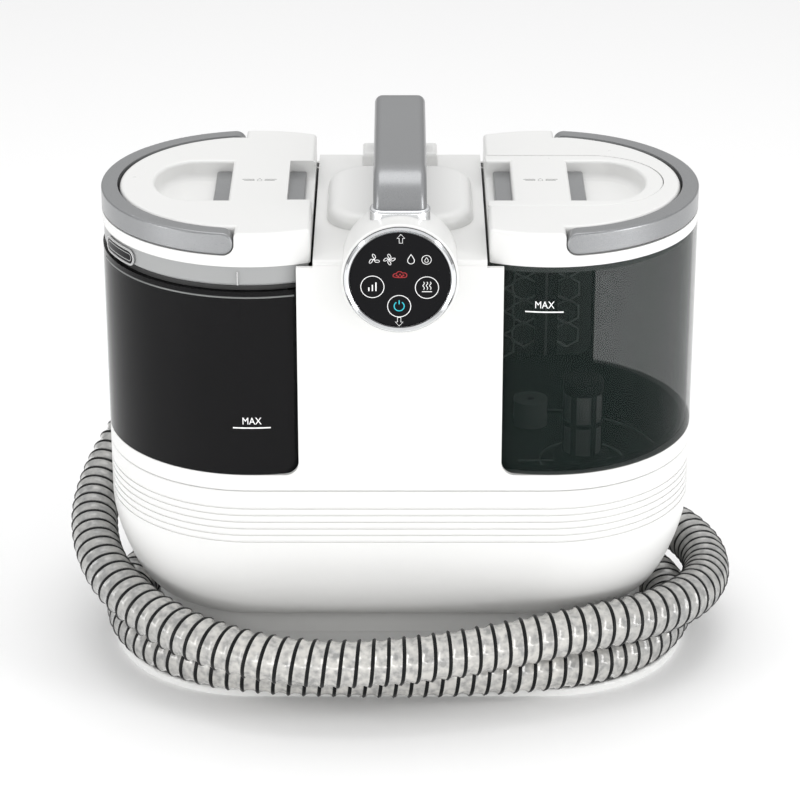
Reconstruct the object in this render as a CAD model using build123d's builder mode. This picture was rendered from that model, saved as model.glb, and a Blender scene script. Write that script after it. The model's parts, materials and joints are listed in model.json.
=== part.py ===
"""Portable spot carpet cleaner with two lift-out water tanks and a suction hose wound round its base.

Millimetres, +Z up, front at -Y, clean-water tank at +X, dirty-water tank at -X.
The origin is on the floor, under the middle of the base.
"""

import os
from math import pi, radians, sqrt, tan

from build123d import *

os.makedirs("parts", exist_ok=True)

# ---- Driving dimensions ----
BODY_LENGTH = 370.0       # over both round ends
BODY_DEPTH = 188.0
LID_TOP = 314.0           # height of the two lids
WALL = 3.0                # housing walls
GAP = 0.4                 # between pieces that come apart
RUNNING = 0.05            # radial clearance of a pin in its bore

TRAY_INSET = 2.0          # the tray is this much smaller than the body at front and back
TRAY_THICK = 3.0
TRAY_RIM = 3.0            # width of the raised edge round the tray
TRAY_RIM_TOP = 5.0
NECK_INSET = 28.0         # the neck that the hose winds round is this much smaller than the body
NECK_TOP = 48.0
NECK_SPLIT = 32.0         # joint between the base and the lower shell
BELLY_TOP = 108.0         # below this the lower shell curves in to the neck
BELLY_INSET = 25.0
SEAM_Z = 145.0            # joint between the lower and the upper shell
SEAM_CHAMFER = 0.5
CUP_RIM_Z = 156.0
CUP_FLOOR_Z = 119.5       # top of the floor that the tanks stand on
CUP_FLOOR = 2.5
RIB_COUNT = 6
RIB_TOP_Z = 133.2
RIB_PITCH = 4.56
RIB_DEPTH = 0.9
RIB_WIDTH = 1.3

LID_HEIGHT = 21.0
CONSOLE_HALF = 52.0       # half width of the centre console
PANEL_OVERHANG = 10.0     # the console's front panel is this much wider on each side
PANEL_CORNER_R = 8.5
REAR_DEPTH = 14.0         # depth of the rear compartment
REAR_REACH = 37.0         # it runs this far past the middle of each round end
DECK_DROP = 17.0          # from the lids down to the deck between them
DECK_THICK = 3.0

TANK_WALL = 2.5
TANK_FLOOR = 2.5
CUP_STEP = 6.0            # the tank's foot is this much smaller than its window
COLLAR_DROP = 11.0        # from the dirty lid down to the foot of its collar
SEAL_GAP = 5.0            # from there down to the rim of the dirty tank

BAIL_WIDTH = 10.0
BAIL_HEIGHT = 13.7
BAIL_PIVOT_OUT = 15.0     # the bails turn this far outside the middle of each round end
BAIL_PIN_R = 2.5
BAIL_BEVEL = 1.4

CAP_HALF = 45.0           # half width of the fill cap, and the radius of its round end
CAP_MARGIN = 11.2         # from its round end to the finger recess
RECESS_DEPTH = 12.0
RECESS_ROUND = 4.4        # rounding along the foot of the recess walls
RECESS_LIP = 2.0
RECESS_HALF = 35.0
RECESS_LENGTH = 47.1
RECESS_STRAIGHT = 22.0    # its sides are straight this far, then it closes in half an oval
INNER_RECESS = 15.0
BRIDGE_WIDTH = 35.7
BUTTON_DROP = 7.0         # the squeeze buttons lie this far below the lid

HANDLE_WIDTH = 32.0
HANDLE_THICK = 15.0
HANDLE_RISE = 31.0        # top of the handle above the lids
HANDLE_FRONT_IN = 15.0    # its legs stand this far in from the front
HANDLE_REAR_IN = 10.0     # and from the back
HANDLE_FRONT_R = 22.0     # bends of the handle's middle line
HANDLE_REAR_R = 16.0
HANDLE_SOCKET = 10.0      # depth of the handle's foot in the control head

HEAD_DROP = 25.3          # centre of the control disc below the lids
HEAD_PROUD = 9.0          # the disc stands out from the panel
HEAD_DEPTH = 52.0
GLASS_R = 30.0
BEZEL_WIDTH = 3.3
HEAD_WALL = 1.7

HOSE_DIAMETER = 31.0
CUFF_R = 18.5
PORT_X = -50.0
PORT_OUT = 22.0           # the hose port's bend is this far behind the neck
PORT_Z = 24.0
PIPE_R = 16.0
PIPE_WALL = 2.0
RISER_IN = 3.0            # the riser stands this far inside the middle of the round end
RISER_Y = 40.0

TOOL_OUT = 24.0           # middle of the docked tool behind the housing
TOOL_Z = 118.0
TOOL_R = 16.0
TOOL_LEFT_X = -108.0
TOOL_RIGHT_X = 28.0
NOZZLE_RIGHT_X = 104.0
NOZZLE_WIDTH = 84.0

FILTER_OUT = 26.0         # the filter stands this far outside the middle of the round end
VALVE_IN = 5.0
VALVE_FROM_BACK = 36.0
FLOAT_OUT = 27.0
FLOAT_Y = -12.0
FLOAT_R = 13.0

# ---- Sizes worked out from them ----
END_R = BODY_DEPTH / 2
END_X = BODY_LENGTH / 2 - END_R
TRAY_DEPTH = BODY_DEPTH - 2 * TRAY_INSET
NECK_R = END_R - NECK_INSET
PANEL_HALF = CONSOLE_HALF + PANEL_OVERHANG
REAR_FACE_Y = END_R - REAR_DEPTH
REAR_HALF = END_X + REAR_REACH
CUP_R = END_R - CUP_STEP + GAP + 0.1
LID_LOW = LID_TOP - LID_HEIGHT
DECK_TOP = LID_TOP - DECK_DROP
CONSOLE_TOP = DECK_TOP - DECK_THICK
TANK_TOP = LID_LOW - GAP
TANK_INNER_X = CONSOLE_HALF + 2.0
TANK_LOW = CUP_FLOOR_Z + GAP
TANK_STEP_HIGH = CUP_RIM_Z + GAP
COLLAR_LOW = LID_LOW - COLLAR_DROP
DIRTY_TANK_TOP = COLLAR_LOW - SEAL_GAP
BAIL_PIVOT_X = END_X + BAIL_PIVOT_OUT
BAIL_INNER_R = END_R - BAIL_WIDTH
BAIL_END_R = BAIL_HEIGHT / 2
BAIL_Z = LID_TOP - BAIL_END_R
LID_CROWN_R = BAIL_INNER_R - 1.5
SWING_HALF = sqrt(BAIL_INNER_R ** 2 - (BAIL_PIVOT_X + BAIL_END_R - END_X) ** 2) - GAP / 2
BRIDGE_LOW_X = TANK_INNER_X + INNER_RECESS
RECESS_LOW_X = BRIDGE_LOW_X + BRIDGE_WIDTH
RECESS_HIGH_X = RECESS_LOW_X + RECESS_LENGTH
CAP_END_X = RECESS_HIGH_X + CAP_MARGIN - CAP_HALF
RECESS_LOW_Z = LID_TOP - RECESS_DEPTH
RECESS_WALL = 2.2
CAP_LOW = LID_TOP - RECESS_DEPTH - 3.0
BUTTON_HALF = RECESS_HALF - 1.0
BUTTON_TOP = LID_TOP - BUTTON_DROP
HANDLE_TOP = LID_TOP + HANDLE_RISE
HANDLE_MID_Z = HANDLE_TOP - HANDLE_THICK / 2
HANDLE_FRONT_Y = HANDLE_FRONT_IN - END_R
HANDLE_REAR_Y = END_R - HANDLE_REAR_IN
HEAD_Z = LID_TOP - HEAD_DROP
HEAD_FRONT_Y = -END_R - HEAD_PROUD
BEZEL_R = GLASS_R + BEZEL_WIDTH
HEAD_R = BEZEL_R + HEAD_WALL
PORT_Y = NECK_R + PORT_OUT
RISER_X = RISER_IN - END_X
TOOL_Y = END_R + TOOL_OUT
FILTER_X = END_X + FILTER_OUT
VALVE_X = END_X - VALVE_IN
VALVE_Y = END_R - VALVE_FROM_BACK
FLOAT_X = -END_X - FLOAT_OUT
CHASSIS_Z = NECK_TOP + WALL + 0.1


def label(piece, name):
    """Name a finished piece and write it."""
    piece.part.label = name
    export_step(piece.part, f"parts/{name}.step")


def sweep_round(draw_outline, straight=END_X):
    """A body with a stadium plan: an outline in radius and height, run along two sides and two ends."""
    with BuildPart() as swept:
        for facing in (-1, 1):
            start = Plane((-facing * straight, 0, 0), x_dir=(0, facing, 0), z_dir=(facing, 0, 0))
            with BuildSketch(start) as outline:
                draw_outline()
            extrude(amount=2 * straight)
            revolve(outline.sketch, axis=Axis((-facing * straight, 0, 0), (0, 0, 1)), revolution_arc=180)
    return swept.part


def stadium(radius, mode=Mode.ADD):
    """The machine's plan at a given end radius."""
    return SlotOverall(2 * (END_X + radius), 2 * radius, mode=mode)


def tank_plan(inset=0.0, step=0.0):
    """D-shaped plan of a tank on the +X side: a round end, cut by the console and the rear wall."""
    with Locations((END_X, 0)):
        Circle(END_R - step - inset)
    low_x = TANK_INNER_X + inset
    with Locations((low_x, 0)):
        Rectangle(200, 300, align=(Align.MAX, Align.CENTER), mode=Mode.SUBTRACT)
    front = END_R - WALL - GAP - inset
    with Locations((PANEL_HALF + GAP + inset, -front)):
        Rectangle(200, 50, align=(Align.MAX, Align.MAX), mode=Mode.SUBTRACT)
    with Locations((REAR_HALF + GAP + inset, REAR_FACE_Y - GAP - inset)):
        Rectangle(200, 50, align=(Align.MAX, Align.MIN), mode=Mode.SUBTRACT)


def lid_plan(radius=END_R, low_x=TANK_INNER_X - 0.5):
    """D-shaped plan of a lid on the +X side."""
    with Locations((END_X, 0)):
        Circle(radius)
    with Locations((low_x, 0)):
        Rectangle(200, 300, align=(Align.MAX, Align.CENTER), mode=Mode.SUBTRACT)


def cap_plan(grow=0.0):
    """Outline of the fill cap: parallel sides and a round outer end."""
    low_x = TANK_INNER_X - 0.5
    with Locations((CAP_END_X, 0)):
        Circle(CAP_HALF + grow)
    with Locations((low_x, 0)):
        Rectangle(CAP_END_X - low_x, 2 * (CAP_HALF + grow), align=(Align.MIN, Align.CENTER))
    with Locations((low_x, 0)):
        Rectangle(200, 300, align=(Align.MAX, Align.CENTER), mode=Mode.SUBTRACT)


def outer_recess_plan(grow=0.0):
    """D-shaped finger recess beyond the bridge."""
    with Locations((RECESS_LOW_X - grow, 0)):
        Rectangle(RECESS_STRAIGHT + grow, 2 * (RECESS_HALF + grow), align=(Align.MIN, Align.CENTER))
    with Locations((RECESS_LOW_X + RECESS_STRAIGHT, 0)):
        Ellipse(RECESS_LENGTH - RECESS_STRAIGHT + grow, RECESS_HALF + grow)
    with Locations((RECESS_LOW_X - grow, 0)):
        Rectangle(200, 300, align=(Align.MAX, Align.CENTER), mode=Mode.SUBTRACT)


def inner_recess_plan(grow=0.0):
    """Small recess between the bridge and the console."""
    low_x = TANK_INNER_X - 0.5
    with Locations((low_x, 0)):
        Rectangle(BRIDGE_LOW_X - low_x + grow, 2 * (RECESS_HALF + grow), align=(Align.MIN, Align.CENTER))


def add_recess_walls():
    """Walls and floors under both finger recesses, and the hollow bridge between them."""
    floor_z = RECESS_LOW_Z - RECESS_WALL
    with BuildSketch(Plane.XY.offset(floor_z)) as walls:
        outer_recess_plan(RECESS_WALL)
        inner_recess_plan(RECESS_WALL)
        with Locations((BRIDGE_LOW_X, 0)):
            Rectangle(RECESS_LOW_X - BRIDGE_LOW_X, 2 * RECESS_HALF, align=(Align.MIN, Align.CENTER))
    extrude(walls.sketch, amount=LID_TOP - 1 - floor_z)


def finger_space(draw_plan):
    """Space of one finger recess, rounded along its floor except where it meets the bridge or the console."""
    with BuildPart() as space:
        with BuildSketch(Plane.XY.offset(RECESS_LOW_Z)) as plan:
            draw_plan()
        extrude(plan.sketch, amount=RECESS_DEPTH + 1)
        floor_edges = space.faces().sort_by(Axis.Z)[0].edges()
        soft_edges = floor_edges.filter_by(
            lambda edge: abs((edge @ 0.5).Y) > 1 or (edge @ 0.5).X > RECESS_HIGH_X - 1)
        fillet(soft_edges, RECESS_ROUND)
    return space.part


def recess_lips(piece, facing):
    """Top edges round both finger recesses."""
    low_x = TANK_INNER_X
    tops = piece.edges().filter_by_position(Axis.Z, LID_TOP - 0.01, LID_TOP + 0.01)
    return tops.filter_by(lambda edge: abs((edge @ 0.5).Y) < RECESS_HALF + 0.1
                          and low_x < facing * (edge @ 0.5).X < RECESS_HIGH_X + 0.1)


def cut_recesses():
    """Both finger recesses and the pockets in the bridge that the squeeze buttons slide into."""
    add(finger_space(outer_recess_plan), mode=Mode.SUBTRACT)
    add(finger_space(inner_recess_plan), mode=Mode.SUBTRACT)
    pocket = 9.0
    for edge_x, inwards in ((RECESS_LOW_X, Align.MAX), (BRIDGE_LOW_X, Align.MIN)):
        with BuildSketch(Plane.XY.offset(RECESS_LOW_Z)) as slot:
            with Locations((edge_x, 0)):
                Rectangle(pocket, 2 * (BUTTON_HALF + GAP), align=(inwards, Align.CENTER))
        extrude(slot.sketch, amount=BUTTON_TOP + GAP - RECESS_LOW_Z, mode=Mode.SUBTRACT)


def cut_port_hole():
    """Round hole through the neck's back wall for the hose port."""
    with BuildSketch(Plane.XZ.offset(-(NECK_R - 2 * WALL))) as hole:
        with Locations((PORT_X, PORT_Z)):
            Circle(PIPE_R + 0.2)
    extrude(hole.sketch, amount=-3 * WALL, mode=Mode.SUBTRACT)


# ---- Base: tray, hollow pedestal and feet ----
FOOT_R = 11.0
FOOT_THICK = 1.6
FOOT_X = END_X + 49.0
FOOT_Y = TRAY_DEPTH / 2 - 40.0
BOSS_R = 5.0
BOSS_X = END_X + 29.0
BOSS_Y = NECK_R - 28.0
SCREW_R = 1.9

with BuildPart() as base_tray:
    with BuildSketch():
        SlotOverall(BODY_LENGTH, TRAY_DEPTH)
    extrude(amount=TRAY_RIM_TOP)
    fillet(base_tray.faces().sort_by(Axis.Z)[-1].edges(), 1.5)
    with BuildSketch(Plane.XY.offset(TRAY_THICK)):
        SlotOverall(BODY_LENGTH - 2 * TRAY_RIM, TRAY_DEPTH - 2 * TRAY_RIM)
    extrude(amount=TRAY_RIM_TOP, mode=Mode.SUBTRACT)
    with BuildSketch(Plane.XY.offset(TRAY_THICK)):
        stadium(NECK_R)
        stadium(NECK_R - WALL, mode=Mode.SUBTRACT)
    extrude(amount=NECK_SPLIT - TRAY_THICK)
    with BuildSketch(Plane.XY.offset(TRAY_THICK)):
        with GridLocations(2 * BOSS_X, 2 * BOSS_Y, 2, 2):
            Circle(BOSS_R)
    extrude(amount=CHASSIS_Z - 0.1 - TRAY_THICK)
    with BuildSketch():
        with GridLocations(2 * FOOT_X, 2 * FOOT_Y, 2, 2):
            Circle(FOOT_R)
    extrude(amount=FOOT_THICK, mode=Mode.SUBTRACT)
    with BuildSketch():
        with GridLocations(2 * BOSS_X, 2 * BOSS_Y, 2, 2):
            Circle(SCREW_R)
    extrude(amount=CHASSIS_Z, mode=Mode.SUBTRACT)
    cut_port_hole()
label(base_tray, "base_tray")

with BuildPart() as rubber_feet:
    with BuildSketch():
        with GridLocations(2 * FOOT_X, 2 * FOOT_Y, 2, 2):
            Circle(FOOT_R - 0.1)
    extrude(amount=FOOT_THICK - 0.05)
label(rubber_feet, "rubber_feet")


# ---- Lower shell ----
def belly(side_r, foot_r, low_z, high_z):
    """The curve from the neck out to the upright side, as one smooth arc-like edge."""
    ease = 0.36
    Bezier((foot_r, low_z), (foot_r + (side_r - foot_r) * ease, low_z),
           (side_r, high_z - (high_z - low_z) * ease), (side_r, high_z))


def lower_shell_outline():
    """Wall section from the neck's foot up to the seam, with the grooves in its outer face."""
    side = END_R - WALL
    foot = END_R - BELLY_INSET
    low = NECK_SPLIT + GAP / 2
    seam = SEAM_Z - GAP / 2
    with BuildLine() as wall:
        Polyline((NECK_R, low), (NECK_R, NECK_TOP), (foot, NECK_TOP))
        belly(END_R, foot, NECK_TOP, BELLY_TOP)
        grooves = [(END_R, BELLY_TOP)]
        for rib in reversed(range(RIB_COUNT)):
            z = RIB_TOP_Z - rib * RIB_PITCH
            grooves += [(END_R, z - RIB_WIDTH / 2), (END_R - RIB_DEPTH, z - RIB_WIDTH / 2),
                        (END_R - RIB_DEPTH, z + RIB_WIDTH / 2), (END_R, z + RIB_WIDTH / 2)]
        Polyline(*grooves, (END_R, seam - SEAM_CHAMFER), (END_R - SEAM_CHAMFER, seam), (side, seam),
                 (side, BELLY_TOP))
        belly(side, foot - WALL, NECK_TOP + WALL, BELLY_TOP)
        Polyline((foot - WALL, NECK_TOP + WALL), (NECK_R - WALL, NECK_TOP + WALL), (NECK_R - WALL, low),
                 (NECK_R, low))
    make_face(wall.edges())


with BuildPart() as lower_shell:
    add(sweep_round(lower_shell_outline))
    cut_port_hole()
label(lower_shell, "lower_shell")

with BuildPart() as chassis_plate:
    with BuildSketch(Plane.XY.offset(CHASSIS_Z)):
        stadium(NECK_R - WALL + 2)
        with Locations((PORT_X, RISER_Y - 10)):
            Circle(PIPE_R + 2, mode=Mode.SUBTRACT)
        with GridLocations(40, 56, 5, 2):
            SlotOverall(24, 5, mode=Mode.SUBTRACT)
        with GridLocations(2 * BOSS_X, 2 * BOSS_Y, 2, 2):
            Circle(SCREW_R, mode=Mode.SUBTRACT)
    extrude(amount=WALL)
label(chassis_plate, "chassis_plate")

# ---- Upper shell: cups for the tanks, console walls and the rear compartment ----
CUP_WALL = 2.0
CUP_OUTER_R = CUP_R + CUP_WALL
SEAT_R = 9.0
HEX_R = 11.0
HEX_RIB = 2.4
HEX_DEPTH = 1.2
HEX_COLUMNS = int(2 * REAR_HALF / (sqrt(3) * HEX_R)) + 1
HEX_ROWS = 7
HONEYCOMB_Z = (CUP_RIM_Z + LID_LOW) / 2
HONEYCOMB_HEIGHT = LID_LOW - CUP_RIM_Z - 17.0


def console_plan(inset=0.0):
    """Plan of the centre console with the rear compartment across its back."""
    half = CONSOLE_HALF - inset
    Rectangle(2 * half, 2 * (END_R - inset))
    with BuildSketch(mode=Mode.PRIVATE) as rear:
        stadium(END_R - inset)
        with Locations((0, REAR_FACE_Y + inset)):
            Rectangle(2 * (REAR_HALF - inset), 60, align=(Align.CENTER, Align.MIN), mode=Mode.INTERSECT)
    add(rear.sketch)


with BuildPart() as upper_shell:
    with BuildSketch(Plane.XY.offset(CUP_FLOOR_Z - CUP_FLOOR)):
        stadium(CUP_OUTER_R)
    extrude(amount=CUP_RIM_Z - CUP_FLOOR_Z + CUP_FLOOR)
    with BuildSketch(Plane.XY.offset(SEAM_Z + GAP / 2)):
        stadium(END_R)
    extrude(amount=CUP_RIM_Z - SEAM_Z - GAP / 2)
    seam = SEAM_Z + GAP / 2
    seam_edges = upper_shell.edges().filter_by_position(Axis.Z, seam - 0.1, seam + 0.1)
    chamfer(seam_edges.filter_by(lambda edge: (edge @ 0.5).X ** 2 + (edge @ 0.5).Y ** 2 > (END_R - 0.1) ** 2),
            SEAM_CHAMFER)
    for side in (0, 180):
        with BuildSketch(Plane.XY.offset(CUP_FLOOR_Z).rotated((0, 0, side))):
            with BuildSketch(mode=Mode.PRIVATE) as well:
                tank_plan(-GAP, CUP_STEP)
            add(well.sketch if side == 0 else mirror(well.sketch, about=Plane.XZ))
        extrude(amount=CUP_RIM_Z, mode=Mode.SUBTRACT)
    with BuildSketch(Plane.XY.offset(CUP_FLOOR_Z - CUP_FLOOR)):
        Rectangle(2 * (CONSOLE_HALF - WALL), 2 * (CUP_R - WALL))
    extrude(amount=CUP_RIM_Z, mode=Mode.SUBTRACT)
    with BuildSketch(Plane.XY.offset(CUP_RIM_Z - 1)):
        console_plan()
        with BuildSketch(mode=Mode.PRIVATE) as hollow:
            console_plan(WALL)
        add(hollow.sketch, mode=Mode.SUBTRACT)
        with Locations((0, REAR_FACE_Y + WALL)):
            Rectangle(2 * (REAR_HALF - WALL), 60, align=(Align.CENTER, Align.MIN), mode=Mode.SUBTRACT)
    extrude(amount=CONSOLE_TOP - CUP_RIM_Z + 1)
    with BuildSketch(Plane.XY.offset(CUP_RIM_Z - 1)):
        with Locations((0, -END_R)):
            Rectangle(2 * PANEL_HALF, WALL, align=(Align.CENTER, Align.MIN))
    extrude(amount=CONSOLE_TOP - CUP_RIM_Z + 1)
    with BuildSketch(Plane.XY.offset(LID_LOW - GAP)):
        stadium(END_R + 5)
        Rectangle(2 * CONSOLE_HALF, 3 * END_R, mode=Mode.SUBTRACT)
    extrude(amount=LID_HEIGHT, mode=Mode.SUBTRACT)
    rim_edges = upper_shell.edges().filter_by(Axis.Y)
    rim_edges = rim_edges.filter_by_position(Axis.Z, CUP_RIM_Z - 0.1, CUP_RIM_Z + 0.1)
    fillet(rim_edges.filter_by(lambda edge: abs(abs(edge.center().X) - PANEL_HALF) < 0.1), PANEL_CORNER_R)
    with BuildSketch(Plane.XY.offset(CUP_FLOOR_Z - 2 * CUP_FLOOR)):
        with Locations((RISER_X, RISER_Y)):
            Circle(PIPE_R + 1)
        with Locations((VALVE_X, VALVE_Y)):
            Circle(SEAT_R)
    extrude(amount=3 * CUP_FLOOR, mode=Mode.SUBTRACT)
    with BuildSketch(Plane.XZ.offset(-REAR_FACE_Y)):
        with Locations((0, HONEYCOMB_Z)):
            with HexLocations(HEX_R, HEX_COLUMNS, HEX_ROWS):
                RegularPolygon(HEX_R - HEX_RIB / 2, 6, major_radius=False)
        with Locations((0, HONEYCOMB_Z)):
            Rectangle(2 * (TANK_INNER_X + HEX_RIB), 300, mode=Mode.SUBTRACT)
        with Locations((0, HONEYCOMB_Z)):
            Rectangle(2 * (REAR_HALF - 2 * HEX_RIB), HONEYCOMB_HEIGHT, mode=Mode.INTERSECT)
    extrude(amount=-HEX_DEPTH, mode=Mode.SUBTRACT)
label(upper_shell, "upper_shell")

# ---- Deck between the lids, with the raised hump under the handle ----
HUMP_HALF = CONSOLE_HALF - 7.0
HUMP_FRONT_Y = 49.0 - END_R
HUMP_BACK_Y = END_R - 40.0
HUMP_HEIGHT = 9.0
HUMP_R = 8.0
DECK_EDGE_R = 5.0

with BuildPart() as deck_cover:
    with BuildSketch(Plane.XY.offset(CONSOLE_TOP + 0.1)):
        Rectangle(2 * CONSOLE_HALF, 2 * END_R)
    extrude(amount=DECK_TOP - CONSOLE_TOP - 0.1)
    with BuildSketch(Plane.XY.offset(CONSOLE_TOP + 0.1)):
        with Locations((0, (HUMP_FRONT_Y + HUMP_BACK_Y) / 2)):
            RectangleRounded(2 * HUMP_HALF, HUMP_BACK_Y - HUMP_FRONT_Y, 24)
    extrude(amount=DECK_TOP - CONSOLE_TOP + HUMP_HEIGHT)
    fillet(deck_cover.faces().sort_by(Axis.Z)[-1].edges(), HUMP_R)
    front_edges = deck_cover.edges().filter_by(Axis.X).filter_by_position(Axis.Y, -END_R - 0.1, -END_R + 0.1)
    fillet(front_edges.sort_by(Axis.Z)[-1], DECK_THICK - 0.4)
    with BuildSketch(Plane.XY.offset(CONSOLE_TOP)):
        with Locations((0, (HUMP_FRONT_Y + HUMP_BACK_Y) / 2)):
            RectangleRounded(2 * (HUMP_HALF - WALL), HUMP_BACK_Y - HUMP_FRONT_Y - 2 * WALL, 21)
    extrude(amount=HUMP_HEIGHT - 1, mode=Mode.SUBTRACT)
label(deck_cover, "deck_cover")

# ---- Rear cover with its vents, and the exhaust filter behind them ----
VENT_Z = LID_LOW - 61.0
VENT_ROWS = 9
VENT_PITCH = 7.0
VENT_LENGTH = 34.0
VENT_WIDTH = 3.0
REAR_COVER_LOW = CUP_RIM_Z + GAP
REAR_COVER_TOP = LID_LOW - GAP

with BuildPart() as rear_cover:
    with BuildSketch(Plane.XY.offset(REAR_COVER_LOW)):
        stadium(END_R)
        stadium(END_R - WALL, mode=Mode.SUBTRACT)
        with Locations((0, END_R / 2)):
            Rectangle(2 * (REAR_HALF - WALL - GAP), 2 * END_R, align=(Align.CENTER, Align.MIN),
                      mode=Mode.INTERSECT)
    extrude(amount=REAR_COVER_TOP - REAR_COVER_LOW)
    with BuildSketch(Plane.XZ.offset(-END_R)):
        with Locations((0, VENT_Z)):
            with GridLocations(VENT_LENGTH + 8, VENT_PITCH, 3, VENT_ROWS):
                SlotOverall(VENT_LENGTH, VENT_WIDTH)
    extrude(amount=2 * WALL, both=True, mode=Mode.SUBTRACT)
label(rear_cover, "rear_cover")

with BuildPart() as exhaust_filter:
    with Locations((0, END_R - WALL - 4, VENT_Z)):
        Box(3 * VENT_LENGTH + 20, 6, VENT_ROWS * VENT_PITCH + 4)
    with Locations((0, END_R - WALL - 4, VENT_Z)):
        with GridLocations(8, 1, 15, 1):
            Box(2, 8, VENT_ROWS * VENT_PITCH - 4, mode=Mode.SUBTRACT)
label(exhaust_filter, "exhaust_filter")

# ---- Carry handle ----
HANDLE_FOOT_Z = HEAD_Z + HEAD_R - HANDLE_SOCKET

with BuildPart() as carry_handle:
    with BuildLine():
        FilletPolyline((0, HANDLE_FRONT_Y, HANDLE_FOOT_Z), (0, HANDLE_FRONT_Y, HANDLE_MID_Z),
                       (0, HANDLE_REAR_Y, HANDLE_MID_Z), (0, HANDLE_REAR_Y, DECK_TOP + 4),
                       radius=(HANDLE_FRONT_R, HANDLE_REAR_R))
    with BuildSketch(Plane.XY.offset(HANDLE_FOOT_Z)):
        with Locations((0, HANDLE_FRONT_Y)):
            RectangleRounded(HANDLE_WIDTH, HANDLE_THICK, 5)
    sweep()
label(carry_handle, "carry_handle")

MOUNT_WIDTH = 48.0
with BuildPart() as handle_rear_mount:
    with BuildSketch(Plane.XY.offset(DECK_TOP + 0.05)):
        with Locations((0, END_R - 0.5)):
            Rectangle(MOUNT_WIDTH, 22, align=(Align.CENTER, Align.MAX))
    extrude(amount=9)
    fillet(handle_rear_mount.faces().sort_by(Axis.Z)[-1].edges(), 3)
    with BuildSketch(Plane.XY.offset(DECK_TOP + 4)):
        with Locations((0, HANDLE_REAR_Y)):
            RectangleRounded(HANDLE_WIDTH + 0.1, HANDLE_THICK + 0.1, 5)
    extrude(amount=10, mode=Mode.SUBTRACT)
label(handle_rear_mount, "handle_rear_mount")

# ---- Control head ----
HEAD_BACK_Y = HEAD_FRONT_Y + HEAD_DEPTH

with BuildPart() as control_head:
    with BuildSketch(Plane.YZ):
        with BuildLine():
            Polyline((HEAD_FRONT_Y, HEAD_Z), (HEAD_FRONT_Y, HEAD_Z + HEAD_R), (HEAD_BACK_Y, HEAD_Z + HEAD_R),
                     (HEAD_BACK_Y, HEAD_Z), close=True)
        make_face()
    revolve(axis=Axis((0, 0, HEAD_Z), (0, 1, 0)))
    fillet(control_head.faces().sort_by(Axis.Y)[-1].edges(), 20)
    fillet(control_head.faces().sort_by(Axis.Y)[0].edges(), 1.2)
    with BuildSketch(Plane.XZ.offset(-HEAD_FRONT_Y)):
        with Locations((0, HEAD_Z)):
            Circle(BEZEL_R + 0.1)
    extrude(amount=-8, mode=Mode.SUBTRACT)
    with Locations((0, -END_R - 0.1, DECK_TOP + 0.1)):
        Box(200, 200, 200, align=(Align.CENTER, Align.MIN, Align.MAX), mode=Mode.SUBTRACT)
    with BuildSketch(Plane.XZ.offset(-HEAD_FRONT_Y - 8)):
        with Locations((0, HEAD_Z)):
            Circle(6)
    extrude(amount=-12, mode=Mode.SUBTRACT)
    add(carry_handle.part, mode=Mode.SUBTRACT)
label(control_head, "control_head")

COLLAR_LIP = 2.2
COLLAR_ROUND = 9.0
COLLAR_HEIGHT = 9.5

with BuildPart() as handle_collar:
    with BuildSketch(Plane.XY.offset(HANDLE_FOOT_Z + 3)):
        with Locations((0, HANDLE_FRONT_Y)):
            RectangleRounded(HANDLE_WIDTH + 2 * COLLAR_LIP, HANDLE_THICK + 2 * COLLAR_LIP, COLLAR_ROUND)
    extrude(amount=COLLAR_HEIGHT)
    fillet(handle_collar.faces().sort_by(Axis.Z)[-1].edges(), COLLAR_LIP - 0.4)
    add(control_head.part, mode=Mode.SUBTRACT)
    add(carry_handle.part, mode=Mode.SUBTRACT)
label(handle_collar, "handle_collar")

with BuildPart() as bezel_ring:
    with BuildSketch(Plane.YZ):
        with BuildLine():
            Polyline((HEAD_FRONT_Y + 7.9, HEAD_Z + GLASS_R + 0.1),
                     (HEAD_FRONT_Y - 0.6, HEAD_Z + GLASS_R + 0.1),
                     (HEAD_FRONT_Y - 2.0, HEAD_Z + BEZEL_R - 1.2), (HEAD_FRONT_Y - 0.8, HEAD_Z + BEZEL_R),
                     (HEAD_FRONT_Y + 7.9, HEAD_Z + BEZEL_R), close=True)
        make_face()
    revolve(axis=Axis((0, 0, HEAD_Z), (0, 1, 0)))
label(bezel_ring, "bezel_ring")

with BuildPart() as display_glass:
    with BuildSketch(Plane.XZ.offset(-HEAD_FRONT_Y + 0.4)):
        with Locations((0, HEAD_Z)):
            Circle(GLASS_R)
    extrude(amount=-3)
    fillet(display_glass.faces().sort_by(Axis.Y)[0].edges(), 0.6)
label(display_glass, "display_glass")

with BuildPart() as control_board:
    with BuildSketch(Plane.XZ.offset(-HEAD_FRONT_Y - 4.5)):
        with Locations((0, HEAD_Z)):
            Circle(GLASS_R - 2)
    extrude(amount=-1.6)
    with BuildSketch(Plane.XZ.offset(-HEAD_FRONT_Y - 4.5)):
        with Locations((0, HEAD_Z)):
            with GridLocations(12, 12, 3, 3):
                Rectangle(6, 6)
    extrude(amount=1.2)
label(control_board, "control_board")

# ---- Vacuum motor, pump and heater ----
FAN_R = CONSOLE_HALF - WALL - 3.0
MOTOR_R = FAN_R - 5.0
MOTOR_Y = 20.0
MOTOR_LOW = CUP_RIM_Z + 10.0
MOTOR_HEIGHT = 78.0
FAN_HEIGHT = 34.0

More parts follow.
